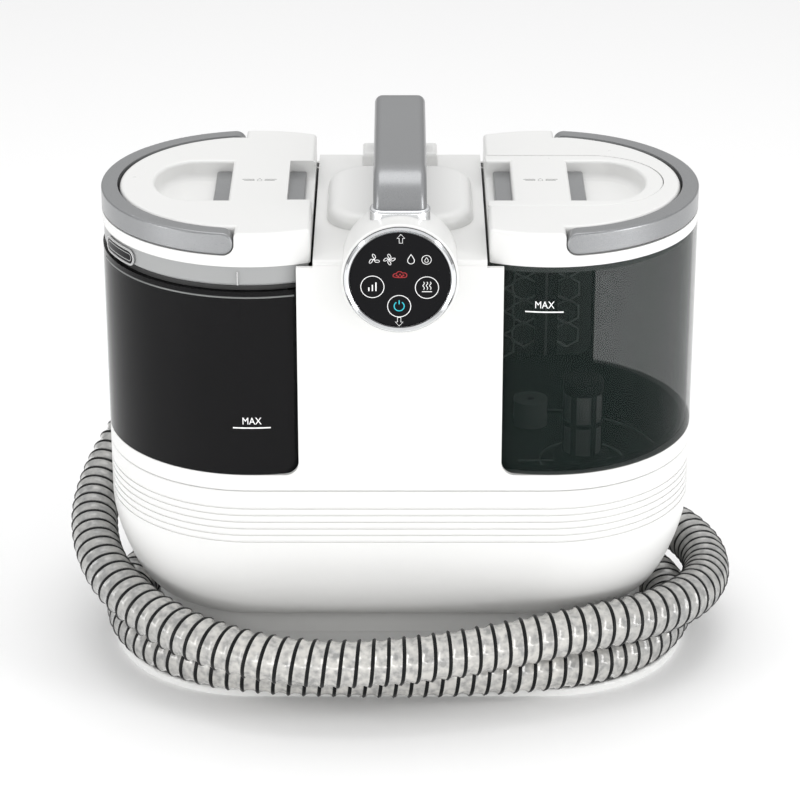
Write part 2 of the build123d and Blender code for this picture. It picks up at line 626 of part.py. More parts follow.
with BuildPart() as fan_housing:
    with BuildSketch(Plane.XY.offset(MOTOR_LOW - FAN_HEIGHT)):
        with Locations((0, MOTOR_Y)):
            Circle(FAN_R)
    extrude(amount=FAN_HEIGHT)
    fillet(fan_housing.edges().sort_by(Axis.Z)[0], 5)
    with BuildSketch(Plane.XY.offset(MOTOR_LOW - FAN_HEIGHT)):
        with Locations((0, MOTOR_Y)):
            Circle(PIPE_R)
    extrude(amount=12, mode=Mode.SUBTRACT)
label(fan_housing, "fan_housing")

with BuildPart() as vacuum_motor:
    with BuildSketch(Plane.XY.offset(MOTOR_LOW + 0.1)):
        with Locations((0, MOTOR_Y)):
            Circle(MOTOR_R)
    extrude(amount=MOTOR_HEIGHT)
    with BuildSketch(Plane.XY.offset(MOTOR_LOW + 12)):
        with Locations((0, MOTOR_Y)):
            with PolarLocations(MOTOR_R, 12):
                Rectangle(5, 7)
    extrude(amount=MOTOR_HEIGHT - 24, mode=Mode.SUBTRACT)
    with Locations((0, MOTOR_Y, MOTOR_LOW + MOTOR_HEIGHT)):
        Cylinder(10, 9, align=(Align.CENTER, Align.CENTER, Align.MIN))
label(vacuum_motor, "vacuum_motor")

with BuildPart() as motor_mount_ring:
    with BuildSketch(Plane.XY.offset(MOTOR_LOW + MOTOR_HEIGHT + 0.2)):
        with Locations((0, MOTOR_Y)):
            Circle(MOTOR_R + 4)
            Circle(MOTOR_R - 12, mode=Mode.SUBTRACT)
    extrude(amount=8)
label(motor_mount_ring, "motor_mount_ring")

PUMP_X, PUMP_Y, PUMP_Z = 62.0, 30.0, 76.0
PUMP_R = 18.0
with BuildPart() as water_pump:
    with Locations(Location((PUMP_X, PUMP_Y, PUMP_Z), (0, 90, 0))):
        Cylinder(PUMP_R, 46)
        Cylinder(PUMP_R - 5, 62)
    with Locations((PUMP_X, PUMP_Y, CHASSIS_Z + WALL)):
        Box(40, 30, PUMP_Z - CHASSIS_Z - WALL, align=(Align.CENTER, Align.CENTER, Align.MIN))
label(water_pump, "water_pump")

HEATER_X, HEATER_Y = 50.0, -34.0
with BuildPart() as heater_block:
    with Locations((HEATER_X, HEATER_Y, CHASSIS_Z + WALL)):
        Box(90, 36, 28, align=(Align.CENTER, Align.CENTER, Align.MIN))
    with Locations((HEATER_X, HEATER_Y, CHASSIS_Z + WALL + 22)):
        with GridLocations(9, 1, 9, 1):
            Box(4, 40, 14, mode=Mode.SUBTRACT)
label(heater_block, "heater_block")

with BuildPart() as power_supply:
    with Locations((-10, -34, CHASSIS_Z + WALL)):
        Box(22, 50, 2, align=(Align.CENTER, Align.CENTER, Align.MIN))
        Box(16, 30, 20, align=(Align.CENTER, Align.CENTER, Align.MIN))
label(power_supply, "power_supply")

# ---- Suction path: port on the base, duct up to the dirty tank ----
def pipe(points, bend, outer, wall):
    """A round pipe along straight runs with tangent bends."""
    with BuildPart() as made:
        with BuildLine() as route:
            FilletPolyline(*points, radius=bend)
        start = Plane(origin=route.line @ 0, z_dir=route.line % 0)
        for radius, mode in ((outer, Mode.ADD), (outer - wall, Mode.SUBTRACT)):
            with BuildSketch(start) as ring:
                Circle(radius)
            sweep(ring.sketch, path=route.line, mode=mode)
    return made.part


PORT_END_X = PORT_X + 32
PORT_IN_Y = NECK_R - 3 * WALL
with BuildPart() as hose_port:
    add(pipe([(PORT_X, PORT_IN_Y, PORT_Z), (PORT_X, PORT_Y, PORT_Z), (PORT_END_X, PORT_Y, PORT_Z)],
             PIPE_R + 1, PIPE_R, PIPE_WALL))
label(hose_port, "hose_port")

DUCT_LOW_Y = NECK_R - 32.0
with BuildPart() as suction_duct:
    add(pipe([(PORT_X, PORT_IN_Y - 0.1, PORT_Z), (PORT_X, DUCT_LOW_Y - 4, PORT_Z),
              (PORT_X, DUCT_LOW_Y - 4, 74),
              (RISER_X, RISER_Y, 74), (RISER_X, RISER_Y, CUP_FLOOR_Z - CUP_FLOOR - 0.1)],
             PIPE_R + 1, PIPE_R, PIPE_WALL))
label(suction_duct, "suction_duct")

with BuildPart() as dirty_seat_seal:
    with BuildSketch(Plane.XY.offset(CUP_FLOOR_Z - CUP_FLOOR)):
        with Locations((RISER_X, RISER_Y)):
            Circle(PIPE_R + 0.9)
            Circle(PIPE_R - PIPE_WALL, mode=Mode.SUBTRACT)
    extrude(amount=CUP_FLOOR + 0.2)
label(dirty_seat_seal, "dirty_seat_seal")

with BuildPart() as clean_seat_valve:
    with BuildSketch(Plane.XY.offset(CUP_FLOOR_Z - 14)):
        with Locations((VALVE_X, VALVE_Y)):
            Circle(SEAT_R - 0.1)
            Circle(SEAT_R - 3, mode=Mode.SUBTRACT)
    extrude(amount=14)
    with BuildSketch(Plane.XY.offset(CUP_FLOOR_Z - 14)):
        with Locations((VALVE_X, VALVE_Y)):
            Circle(SEAT_R - 0.1)
    extrude(amount=2)
    with BuildSketch(Plane.XY.offset(CUP_FLOOR_Z - 12)):
        with Locations((VALVE_X, VALVE_Y)):
            Circle(2)
    extrude(amount=8)
label(clean_seat_valve, "clean_seat_valve")

TUBE_R = 4.0
with BuildPart() as water_tubes:
    tube_low = CUP_FLOOR_Z - 14.1
    with BuildLine():
        FilletPolyline((VALVE_X, VALVE_Y, tube_low), (VALVE_X, VALVE_Y, PUMP_Z + 14),
                       (PUMP_X, VALVE_Y, PUMP_Z + 14), (PUMP_X, VALVE_Y, PUMP_Z),
                       (PUMP_X, PUMP_Y + PUMP_R + 0.1, PUMP_Z), radius=6.5)
    with BuildSketch(Plane.XY.offset(tube_low)):
        with Locations((VALVE_X, VALVE_Y)):
            Circle(TUBE_R)
    sweep()
label(water_tubes, "water_tubes")

# ---- Clean-water tank and what stands in it ----
def tank_shell(top):
    """Tank on the +X side: a foot that drops into the cup, and a wider window flush with the housing."""
    with BuildPart() as tank:
        for low, high, inset, step, mode in (
                (TANK_LOW, TANK_STEP_HIGH + 2, 0, CUP_STEP, Mode.ADD),
                (TANK_STEP_HIGH, top, 0, 0, Mode.ADD),
                (TANK_LOW + TANK_FLOOR, TANK_STEP_HIGH + 6, TANK_WALL, CUP_STEP, Mode.SUBTRACT),
                (TANK_STEP_HIGH + TANK_WALL, top + 1, TANK_WALL, 0, Mode.SUBTRACT)):
            with BuildSketch(Plane.XY.offset(low)) as plan:
                tank_plan(inset, step)
            extrude(plan.sketch, amount=high - low, mode=mode)
    return tank.part


with BuildPart() as clean_tank:
    add(tank_shell(TANK_TOP))
    with BuildSketch(Plane.XY.offset(TANK_LOW)):
        with Locations((VALVE_X, VALVE_Y)):
            Circle(4)
    extrude(amount=TANK_FLOOR, mode=Mode.SUBTRACT)
label(clean_tank, "clean_tank")

TANK_INSIDE_Z = TANK_LOW + TANK_FLOOR
VALVE_HEIGHT = 15.0
with BuildPart() as clean_filter:
    with Locations((FILTER_X, 0, TANK_INSIDE_Z)):
        Cylinder(18.5, 5, align=(Align.CENTER, Align.CENTER, Align.MIN))
        Cylinder(13, 57, align=(Align.CENTER, Align.CENTER, Align.MIN))
        Cylinder(11, 53, align=(Align.CENTER, Align.CENTER, Align.MIN), mode=Mode.SUBTRACT)
    for row in range(2):
        with Locations((FILTER_X, 0, TANK_INSIDE_Z + 8 + row * 22)):
            with PolarLocations(0, 3, 30, 180):
                Box(40, 9.5, 19, align=(Align.CENTER, Align.CENTER, Align.MIN), mode=Mode.SUBTRACT)
label(clean_filter, "clean_filter")

with BuildPart() as clean_valve_housing:
    with BuildSketch(Plane.XY.offset(TANK_INSIDE_Z)):
        with Locations((VALVE_X, VALVE_Y)):
            Circle(11.5)
            Circle(9, mode=Mode.SUBTRACT)
    extrude(amount=VALVE_HEIGHT)
    with BuildSketch(Plane.XY.offset(TANK_INSIDE_Z + VALVE_HEIGHT)):
        with Locations((VALVE_X, VALVE_Y)):
            Circle(11.5)
            Circle(2.6, mode=Mode.SUBTRACT)
    extrude(amount=2.5)
    with Locations((VALVE_X, VALVE_Y, TANK_INSIDE_Z + 5)):
        Box(30, 8, 9, align=(Align.CENTER, Align.CENTER, Align.MIN), mode=Mode.SUBTRACT)
label(clean_valve_housing, "clean_valve_housing")

with BuildPart() as clean_valve_plunger:
    with Locations((VALVE_X, VALVE_Y, TANK_INSIDE_Z + 0.3)):
        Cylinder(7.5, 4, align=(Align.CENTER, Align.CENTER, Align.MIN))
        Cylinder(2.2, VALVE_HEIGHT + 2, align=(Align.CENTER, Align.CENTER, Align.MIN))
    with Locations((VALVE_X, VALVE_Y, TANK_INSIDE_Z + 0.3)):
        Cylinder(2.5, 3, align=(Align.CENTER, Align.CENTER, Align.MAX))
label(clean_valve_plunger, "clean_valve_plunger")

# ---- Lids ----
LID_SKIRT = 3.0
LID_TOP_WALL = 3.0
LID_CORNER_R = 3.0
LID_EDGE_R = 2.4
LEDGE_Z = CAP_LOW - GAP
SEAL_HEIGHT = 4.0

with BuildPart() as lid_blank:
    with BuildSketch(Plane.XY.offset(LID_LOW)):
        lid_plan()
    extrude(amount=LID_HEIGHT)
    with BuildSketch(Plane.XY.offset(LID_TOP - BAIL_HEIGHT - GAP)):
        with Locations((END_X, 0)):
            Circle(END_R + 5)
            Circle(LID_CROWN_R, mode=Mode.SUBTRACT)
        for end in (-1, 1):
            with Locations((END_X, end * SWING_HALF)):
                Rectangle(2 * END_R, END_R, align=(Align.CENTER, Align.MIN if end > 0 else Align.MAX))
        with Locations((BAIL_PIVOT_X - BAIL_END_R - GAP, 0)):
            Rectangle(400, 400, align=(Align.MAX, Align.CENTER), mode=Mode.SUBTRACT)
    extrude(amount=BAIL_HEIGHT + 2, mode=Mode.SUBTRACT)
    notch_floor = LID_TOP - BAIL_HEIGHT - GAP
    notch_edges = lid_blank.edges().filter_by(Axis.Y)
    fillet(notch_edges.filter_by_position(Axis.Z, notch_floor - 0.1, notch_floor + 0.1), BAIL_END_R + GAP)
    fillet(lid_blank.edges().filter_by(Axis.Z).filter_by_position(Axis.X, 0, TANK_INNER_X), LID_CORNER_R)
    fillet(lid_blank.faces().sort_by(Axis.Z)[-1].edges(), LID_EDGE_R)

with BuildPart() as clean_lid:
    add(lid_blank.part)
    with BuildSketch(Plane.XY.offset(LID_LOW)):
        lid_plan(LID_CROWN_R - LID_SKIRT, TANK_INNER_X + LID_SKIRT)
    extrude(amount=LID_HEIGHT - LID_TOP_WALL, mode=Mode.SUBTRACT)
    with BuildSketch(Plane.XY.offset(LEDGE_Z - 2)):
        cap_plan(LID_SKIRT)
    extrude(amount=LID_TOP - 1 - LEDGE_Z + 2)
    with BuildSketch(Plane.XY.offset(LEDGE_Z)):
        cap_plan(GAP)
    extrude(amount=LID_TOP, mode=Mode.SUBTRACT)
    with BuildSketch(Plane.XY.offset(LID_LOW)):
        with Locations((TANK_INNER_X + 12, 0)):
            Rectangle(CAP_END_X - TANK_INNER_X - 12, 2 * (CAP_HALF - 6), align=(Align.MIN, Align.CENTER))
        with Locations((CAP_END_X, 0)):
            Circle(CAP_HALF - 6)
    extrude(amount=LID_TOP, mode=Mode.SUBTRACT)
    for end in (-1, 1):
        with Locations(Location((BAIL_PIVOT_X, end * (END_R - 1), BAIL_Z), (90, 0, 0))):
            Cylinder(BAIL_PIN_R, 2 * 24, mode=Mode.SUBTRACT)
label(clean_lid, "clean_lid")

with BuildPart() as clean_fill_cap:
    with BuildSketch(Plane.XY.offset(CAP_LOW)):
        cap_plan()
    extrude(amount=LID_TOP - CAP_LOW)
    fillet(clean_fill_cap.faces().sort_by(Axis.Z)[-1].edges(), 1)
    with BuildSketch(Plane.XY.offset(CAP_LOW)):
        with Locations((TANK_INNER_X + 2, 0)):
            Rectangle(CAP_END_X - TANK_INNER_X - 2, 2 * (CAP_HALF - 2.5), align=(Align.MIN, Align.CENTER))
        with Locations((CAP_END_X, 0)):
            Circle(CAP_HALF - 2.5)
    extrude(amount=LID_TOP - CAP_LOW - LID_TOP_WALL, mode=Mode.SUBTRACT)
    add_recess_walls()
    cut_recesses()
    fillet(recess_lips(clean_fill_cap, 1), RECESS_LIP)
label(clean_fill_cap, "clean_fill_cap")

with BuildPart() as clean_lid_seal:
    with BuildSketch(Plane.XY.offset(TANK_TOP - SEAL_HEIGHT)):
        tank_plan(TANK_WALL + 0.1)
        with BuildSketch(mode=Mode.PRIVATE) as seal_hole:
            tank_plan(TANK_WALL + 2.6)
        add(seal_hole.sketch, mode=Mode.SUBTRACT)
    extrude(amount=SEAL_HEIGHT + GAP)
label(clean_lid_seal, "clean_lid_seal")

# ---- Squeeze buttons and swing-up bails ----
PIN_IN = 18.0             # the bail pins run from this depth
PIN_OUT = 3.4             # to this one, measured in from the lid's round side
BUTTON_LOW = RECESS_LOW_Z + GAP
BUTTON_DEPTH = 15.5

with BuildPart() as clean_button_outer:
    with BuildSketch(Plane.XY.offset(BUTTON_LOW)):
        with Locations((RECESS_LOW_X - 5, 0)):
            Rectangle(BUTTON_DEPTH, 2 * BUTTON_HALF, align=(Align.MIN, Align.CENTER))
    extrude(amount=BUTTON_TOP - BUTTON_LOW)
    fillet(clean_button_outer.faces().sort_by(Axis.Z)[0].edges().filter_by(Axis.X), RECESS_ROUND - GAP)
    fillet(clean_button_outer.faces().sort_by(Axis.Z)[-1].edges().sort_by(Axis.X)[-1], 1.5)
label(clean_button_outer, "clean_button_outer")

with BuildPart() as clean_button_inner:
    with BuildSketch(Plane.XY.offset(BUTTON_LOW)):
        with Locations((BRIDGE_LOW_X + 5, 0)):
            Rectangle(BUTTON_DEPTH, 2 * BUTTON_HALF, align=(Align.MAX, Align.CENTER))
    extrude(amount=BUTTON_TOP - BUTTON_LOW)
    fillet(clean_button_inner.faces().sort_by(Axis.Z)[0].edges().filter_by(Axis.X), RECESS_ROUND - GAP)
    fillet(clean_button_inner.faces().sort_by(Axis.Z)[-1].edges().sort_by(Axis.X)[0], 1.5)
label(clean_button_inner, "clean_button_inner")

with BuildPart() as clean_bail:
    with BuildSketch(Plane.XY.offset(LID_TOP - BAIL_HEIGHT)):
        with Locations((END_X, 0)):
            Circle(END_R)
            Circle(BAIL_INNER_R, mode=Mode.SUBTRACT)
        with Locations((BAIL_PIVOT_X, 0)):
            Rectangle(400, 400, align=(Align.MAX, Align.CENTER), mode=Mode.SUBTRACT)
    extrude(amount=BAIL_HEIGHT)
    for end in (-1, 1):
        with BuildSketch(Plane.XZ.offset(-end * END_R)):
            with Locations((BAIL_PIVOT_X, BAIL_Z)):
                Circle(BAIL_END_R)
        extrude(amount=end * (BAIL_WIDTH + 3), mode=Mode.ADD)
    with BuildSketch(Plane.XY.offset(LID_TOP - BAIL_HEIGHT - 1)):
        with Locations((END_X, 0)):
            Circle(END_R + 60)
            Circle(END_R, mode=Mode.SUBTRACT)
            Circle(BAIL_INNER_R)
    extrude(amount=BAIL_HEIGHT + 2, mode=Mode.SUBTRACT)
    outer_edges = clean_bail.edges().filter_by(
        lambda edge: abs(((edge @ 0.5).X - END_X) ** 2 + (edge @ 0.5).Y ** 2 - END_R ** 2) < 1)
    fillet(outer_edges, BAIL_BEVEL)
    for end in (-1, 1):
        with BuildSketch(Plane.XZ.offset(-end * (END_R - PIN_OUT + GAP))):
            with Locations((BAIL_PIVOT_X, BAIL_Z)):
                Circle(BAIL_PIN_R + RUNNING)
        extrude(amount=end * PIN_IN, mode=Mode.SUBTRACT)
label(clean_bail, "clean_bail")

with BuildPart() as clean_bail_pins:
    for end in (-1, 1):
        with BuildSketch(Plane.XZ.offset(-end * (END_R - PIN_OUT))):
            with Locations((BAIL_PIVOT_X, BAIL_Z)):
                Circle(BAIL_PIN_R - 0.01)
        extrude(amount=end * (PIN_IN - PIN_OUT))
label(clean_bail_pins, "clean_bail_pins")

# ---- Dirty-water tank, its lid and the separator that hangs from the lid ----
DUCT_TOP = DIRTY_TANK_TOP - 19.0
RISER_R = 15.5
COLLAR_TOP = LID_LOW - 0.1
COLLAR_INSET = 1.0
COLLAR_PLUG = 5.0
CAGE_R = 18.5
CAGE_LOW = COLLAR_LOW - 60.0
FLOAT_LOW = CAGE_LOW + 3.0
FLOAT_HEIGHT = 26.0

with BuildPart() as dirty_tank:
    mirror(tank_shell(DIRTY_TANK_TOP), about=Plane.YZ)
    with BuildSketch(Plane.XY.offset(TANK_LOW)):
        with Locations((RISER_X, RISER_Y)):
            Circle(PIPE_R - PIPE_WALL)
    extrude(amount=TANK_FLOOR, mode=Mode.SUBTRACT)
label(dirty_tank, "dirty_tank")

with BuildPart() as riser_duct:
    with BuildSketch(Plane.XY.offset(TANK_INSIDE_Z)):
        with Locations((RISER_X, RISER_Y)):
            Circle(RISER_R)
            Circle(RISER_R - PIPE_WALL, mode=Mode.SUBTRACT)
    extrude(amount=DUCT_TOP - TANK_INSIDE_Z)
label(riser_duct, "riser_duct")

with BuildPart() as dirty_lid:
    mirror(lid_blank.part, about=Plane.YZ)
    with BuildSketch(Plane.XY.offset(LID_LOW)):
        with BuildSketch(mode=Mode.PRIVATE) as inside:
            lid_plan(LID_CROWN_R - LID_SKIRT, TANK_INNER_X + LID_SKIRT)
        add(mirror(inside.sketch, about=Plane.YZ))
    extrude(amount=LID_HEIGHT - LID_TOP_WALL, mode=Mode.SUBTRACT)
    with BuildPart(mode=Mode.PRIVATE) as dirty_recess:
        add_recess_walls()
    mirror(dirty_recess.part, about=Plane.YZ)
    with BuildPart(mode=Mode.PRIVATE) as recess_space:
        with Locations((END_X, 0, LID_LOW)):
            Box(300, 300, 60)
        cut_recesses()
    with BuildPart(mode=Mode.PRIVATE) as recess_block:
        with Locations((END_X, 0, LID_LOW)):
            Box(300, 300, 60)
        add(recess_space.part, mode=Mode.SUBTRACT)
    mirror(recess_block.part, about=Plane.YZ, mode=Mode.SUBTRACT)
    fillet(recess_lips(dirty_lid, -1).filter_by(lambda edge: (edge @ 0.5).X < -BRIDGE_LOW_X - 1), RECESS_LIP)
    for end in (-1, 1):
        with Locations(Location((-BAIL_PIVOT_X, end * (END_R - 1), BAIL_Z), (90, 0, 0))):
            Cylinder(BAIL_PIN_R, 2 * 24, mode=Mode.SUBTRACT)
label(dirty_lid, "dirty_lid")


def mirrored_plan(draw_plan, *sizes):
    """A plan of the +X side, turned over to the -X side."""
    with BuildSketch(mode=Mode.PRIVATE) as plan:
        draw_plan(*sizes)
    return mirror(plan.sketch, about=Plane.YZ)


with BuildPart() as separator_collar:
    with BuildSketch(Plane.XY.offset(COLLAR_LOW)):
        add(mirrored_plan(tank_plan, COLLAR_INSET))
        add(mirrored_plan(tank_plan, TANK_WALL + 3), mode=Mode.SUBTRACT)
    extrude(amount=COLLAR_TOP - COLLAR_LOW)
    with BuildSketch(Plane.XY.offset(COLLAR_LOW - 2)):
        add(mirrored_plan(tank_plan, TANK_WALL + 1))
        with Locations((FLOAT_X, FLOAT_Y)):
            Circle(CAGE_R - 6, mode=Mode.SUBTRACT)
    extrude(amount=4)
label(separator_collar, "separator_collar")

with BuildPart() as dirty_lid_seal:
    with BuildSketch(Plane.XY.offset(DIRTY_TANK_TOP + 0.2)):
        add(mirrored_plan(tank_plan, TANK_WALL + 0.4))
        add(mirrored_plan(tank_plan, TANK_WALL + 3.4), mode=Mode.SUBTRACT)
    extrude(amount=COLLAR_LOW - 2 - DIRTY_TANK_TOP - 0.2)
label(dirty_lid_seal, "dirty_lid_seal")

with BuildPart() as float_cage:
    with BuildSketch(Plane.XY.offset(CAGE_LOW)):
        with Locations((FLOAT_X, FLOAT_Y)):
            Circle(CAGE_R)
    extrude(amount=COLLAR_LOW - 2 - CAGE_LOW)
    with BuildSketch(Plane.XY.offset(CAGE_LOW + 2.5)):
        with Locations((FLOAT_X, FLOAT_Y)):
            Circle(CAGE_R - 2)
    extrude(amount=COLLAR_LOW, mode=Mode.SUBTRACT)
    with Locations((FLOAT_X, FLOAT_Y, CAGE_LOW + 6)):
        with PolarLocations(0, 2, 0, 180):
            Box(60, 14, 40, align=(Align.CENTER, Align.CENTER, Align.MIN), mode=Mode.SUBTRACT)
label(float_cage, "float_cage")

with BuildPart() as shutoff_float:
    with BuildSketch(Plane.XY.offset(FLOAT_LOW)):
        with Locations((FLOAT_X, FLOAT_Y)):
            Circle(FLOAT_R)
    extrude(amount=FLOAT_HEIGHT)
    fillet(shutoff_float.edges().filter_by(GeomType.CIRCLE), 5)
label(shutoff_float, "shutoff_float")

for source, name in ((clean_bail, "dirty_bail"), (clean_bail_pins, "dirty_bail_pins"),
                     (clean_button_outer, "dirty_button_outer"), (clean_button_inner, "dirty_button_inner")):
    with BuildPart() as opposite:
        mirror(source.part, about=Plane.YZ)
    label(opposite, name)

# ---- Dock and cleaning tool across the back ----
CLIP_XS = (-76.0, -8.0)
CLIP_WIDTH = 14.0
CLIP_WALL = 3.0
DOCK_BACK_Y = END_R + 0.1

with BuildPart() as tool_dock:
    with BuildSketch(Plane.XZ.offset(-DOCK_BACK_Y)):
        with Locations(((CLIP_XS[0] + CLIP_XS[1]) / 2, TOOL_Z + 4)):
            RectangleRounded(CLIP_XS[1] - CLIP_XS[0] + 30, 40, 6)
    extrude(amount=-3)
    for clip_x in CLIP_XS:
        with BuildSketch(Plane.YZ.offset(clip_x - CLIP_WIDTH / 2)):
            with Locations((TOOL_Y, TOOL_Z)):
                Circle(TOOL_R + CLIP_WALL + 0.1)
            with Locations((DOCK_BACK_Y + 1, TOOL_Z)):
                Rectangle(TOOL_Y - DOCK_BACK_Y - 1, 12, align=(Align.MIN, Align.CENTER))
            with Locations((TOOL_Y, TOOL_Z)):
                Circle(TOOL_R + 0.1, mode=Mode.SUBTRACT)
            with Locations((TOOL_Y + 8, TOOL_Z)):
                Rectangle(60, 80, align=(Align.MIN, Align.CENTER), mode=Mode.SUBTRACT)
        extrude(amount=CLIP_WIDTH)
label(tool_dock, "tool_dock")

TRIGGER_X = -46.0
TRIGGER_LENGTH = 34.0
TRIGGER_PIN_X = TRIGGER_X + TRIGGER_LENGTH / 2 - 3
TRIGGER_TOP_Z = TOOL_Z + TOOL_R + 4
TRIGGER_PIN_R = 1.5

with BuildPart() as tool_body:
    with BuildSketch(Plane.YZ.offset(TOOL_LEFT_X)):
        with Locations((TOOL_Y, TOOL_Z)):
            Circle(TOOL_R)
    extrude(amount=TOOL_RIGHT_X - TOOL_LEFT_X)
    with BuildSketch(Plane.YZ.offset(TOOL_LEFT_X - 1)):
        with Locations((TOOL_Y, TOOL_Z)):
            Circle(TOOL_R - 4)
    extrude(amount=TOOL_RIGHT_X - TOOL_LEFT_X + 2, mode=Mode.SUBTRACT)
    with Locations((TRIGGER_X, TOOL_Y, TOOL_Z + TOOL_R - 3)):
        Box(TRIGGER_LENGTH + 8, 18, 9, align=(Align.CENTER, Align.CENTER, Align.MIN))
    with Locations((TRIGGER_X, TOOL_Y, TOOL_Z + TOOL_R - 1)):
        Box(TRIGGER_LENGTH + 1, 12, 9, align=(Align.CENTER, Align.CENTER, Align.MIN), mode=Mode.SUBTRACT)
    with Locations(Location((TRIGGER_PIN_X, TOOL_Y, TRIGGER_TOP_Z - 0.5), (90, 0, 0))):
        Cylinder(TRIGGER_PIN_R, 40, mode=Mode.SUBTRACT)
label(tool_body, "tool_body")

with BuildPart() as trigger_pin:
    with Locations(Location((TRIGGER_PIN_X, TOOL_Y, TRIGGER_TOP_Z - 0.5), (90, 0, 0))):
        Cylinder(TRIGGER_PIN_R, 17.8)
label(trigger_pin, "trigger_pin")

with BuildPart() as tool_trigger:
    with BuildSketch(Plane.XZ.offset(-TOOL_Y)):
        with BuildLine():
            Polyline((TRIGGER_PIN_X + 3, TRIGGER_TOP_Z - 3), (TRIGGER_PIN_X + 3, TRIGGER_TOP_Z + 2),
                     (TRIGGER_PIN_X - 6, TRIGGER_TOP_Z + 6), (TRIGGER_PIN_X - 27, TRIGGER_TOP_Z + 6),
                     (TRIGGER_PIN_X - 27, TRIGGER_TOP_Z + 3), (TRIGGER_PIN_X - 6, TRIGGER_TOP_Z - 3),
                     close=True)
        make_face()
    extrude(amount=5.6, both=True)
    with Locations(Location((TRIGGER_PIN_X, TOOL_Y, TRIGGER_TOP_Z - 0.5), (90, 0, 0))):
        Cylinder(TRIGGER_PIN_R + RUNNING, 20, mode=Mode.SUBTRACT)
label(tool_trigger, "tool_trigger")

NOZZLE_THICK = 26.0
with BuildPart() as tool_nozzle:
    for inset, mode in ((0, Mode.ADD), (2.5, Mode.SUBTRACT)):
        with BuildSketch(Plane.YZ.offset(TOOL_RIGHT_X + 0.1)) as throat:
            with Locations((TOOL_Y, TOOL_Z)):
                Circle(TOOL_R - inset)
        with BuildSketch(Plane.YZ.offset(NOZZLE_RIGHT_X)) as mouth:
            with Locations((TOOL_Y, TOOL_Z)):
                RectangleRounded(NOZZLE_THICK - 2 * inset, NOZZLE_WIDTH - 2 * inset, 10 - inset)
        loft([throat.sketch.face(), mouth.sketch.face()], mode=mode)
label(tool_nozzle, "tool_nozzle")

with BuildPart() as tool_brush:
    with Locations((NOZZLE_RIGHT_X + 0.1, TOOL_Y + 8, TOOL_Z)):
        Box(3, 6, NOZZLE_WIDTH - 22, align=(Align.MIN, Align.CENTER, Align.CENTER))
    with Locations((NOZZLE_RIGHT_X + 3, TOOL_Y + 8, TOOL_Z)):
        with Locations(Plane.YZ):
            with GridLocations(1, 5.5, 1, 11):
                Cylinder(1.6, 9, align=(Align.CENTER, Align.CENTER, Align.MIN))
label(tool_brush, "tool_brush")

with BuildPart() as tool_spray_tip:
    with Locations(Location((TOOL_RIGHT_X + 20, TOOL_Y + 22, TOOL_Z), (0, 90, 0))):
        Cylinder(5, 44, align=(Align.CENTER, Align.CENTER, Align.MIN))
        Cylinder(3, 50, align=(Align.CENTER, Align.CENTER, Align.MIN))
label(tool_spray_tip, "tool_spray_tip")

# ---- Hose: cuffs at both ends and the free length round the base ----
MACHINE_CUFF_LENGTH = 28.0
TOOL_CUFF_LENGTH = 24.0
HOSE_START = (TOOL_LEFT_X - TOOL_CUFF_LENGTH, TOOL_Y, TOOL_Z)
HOSE_END = (PORT_END_X + MACHINE_CUFF_LENGTH, PORT_Y, PORT_Z)


def cuff(center, length, direction):
    """A stepped rubber sleeve on a hose end, running along X."""
    with BuildPart() as sleeve:
        for start, stop, radius in ((0, length * 0.35, CUFF_R), (length * 0.35, length, CUFF_R - 1.2)):
            with BuildSketch(Plane.YZ.offset(center[0] + direction * start)) as ring:
                with Locations((center[1], center[2])):
                    Circle(radius)
                    Circle(HOSE_DIAMETER / 2 - 3, mode=Mode.SUBTRACT)
            extrude(ring.sketch, amount=direction * (stop - start))
    return sleeve.part


with BuildPart() as machine_cuff:
    add(cuff((PORT_END_X + 0.1, PORT_Y, PORT_Z), MACHINE_CUFF_LENGTH - 0.2, 1))
label(machine_cuff, "machine_cuff")

with BuildPart() as tool_cuff:
    add(cuff((TOOL_LEFT_X - 0.1, TOOL_Y, TOOL_Z), TOOL_CUFF_LENGTH - 0.2, -1))
label(tool_cuff, "tool_cuff")

HOSE_ROUTE = [
    HOSE_START,
    (-161, 118, 118), (-188, 105, 110), (-203, 74, 96), (-207, 33, 79), (-200, -10, 64),
    (-183, -50, 55), (-156, -81, 50), (-122, -107, 47), (-84, -123, 44), (-42, -129, 43), (0, -127, 44),
    (42, -119, 46), (84, -109, 50), (122, -96, 52), (156, -76, 52), (186, -46, 52),
    (203, -8, 52), (204, 34, 50), (188, 74, 47), (158, 104, 43), (116, 120, 39),
    (66, 126, 36), (12, 125, 34), (-40, 124, 31), (-90, 118, 26), (-134, 99, 22), (-164, 64, 20.5),
    (-178, 22, 20.5), (-177, -20, 20.6), (-159, -58, 20.5), (-126, -85, 20.6), (-84, -96, 20.5),
    (-40, -99, 20.6), (4, -100, 20.5), (46, -98, 20.6), (88, -92, 20.5), (126, -82, 20.6), (157, -58, 20.5),
    (176, -22, 20.6), (177, 20, 20.5), (161, 57, 20.6), (128, 81, 20.8), (88, 91, 22), (48, 88, 24),
    HOSE_END,
]


def bend_radii(points, share=0.45):
    """The largest tangent arc at each corner that leaves room for its neighbours."""
    radii = []
    for before, corner, after in zip(points, points[1:], points[2:]):
        into = Vector(*corner) - Vector(*before)
        out = Vector(*after) - Vector(*corner)
        turn = into.get_angle(out)
        radii.append(share * min(into.length, out.length) / tan(radians(turn) / 2))
    return radii


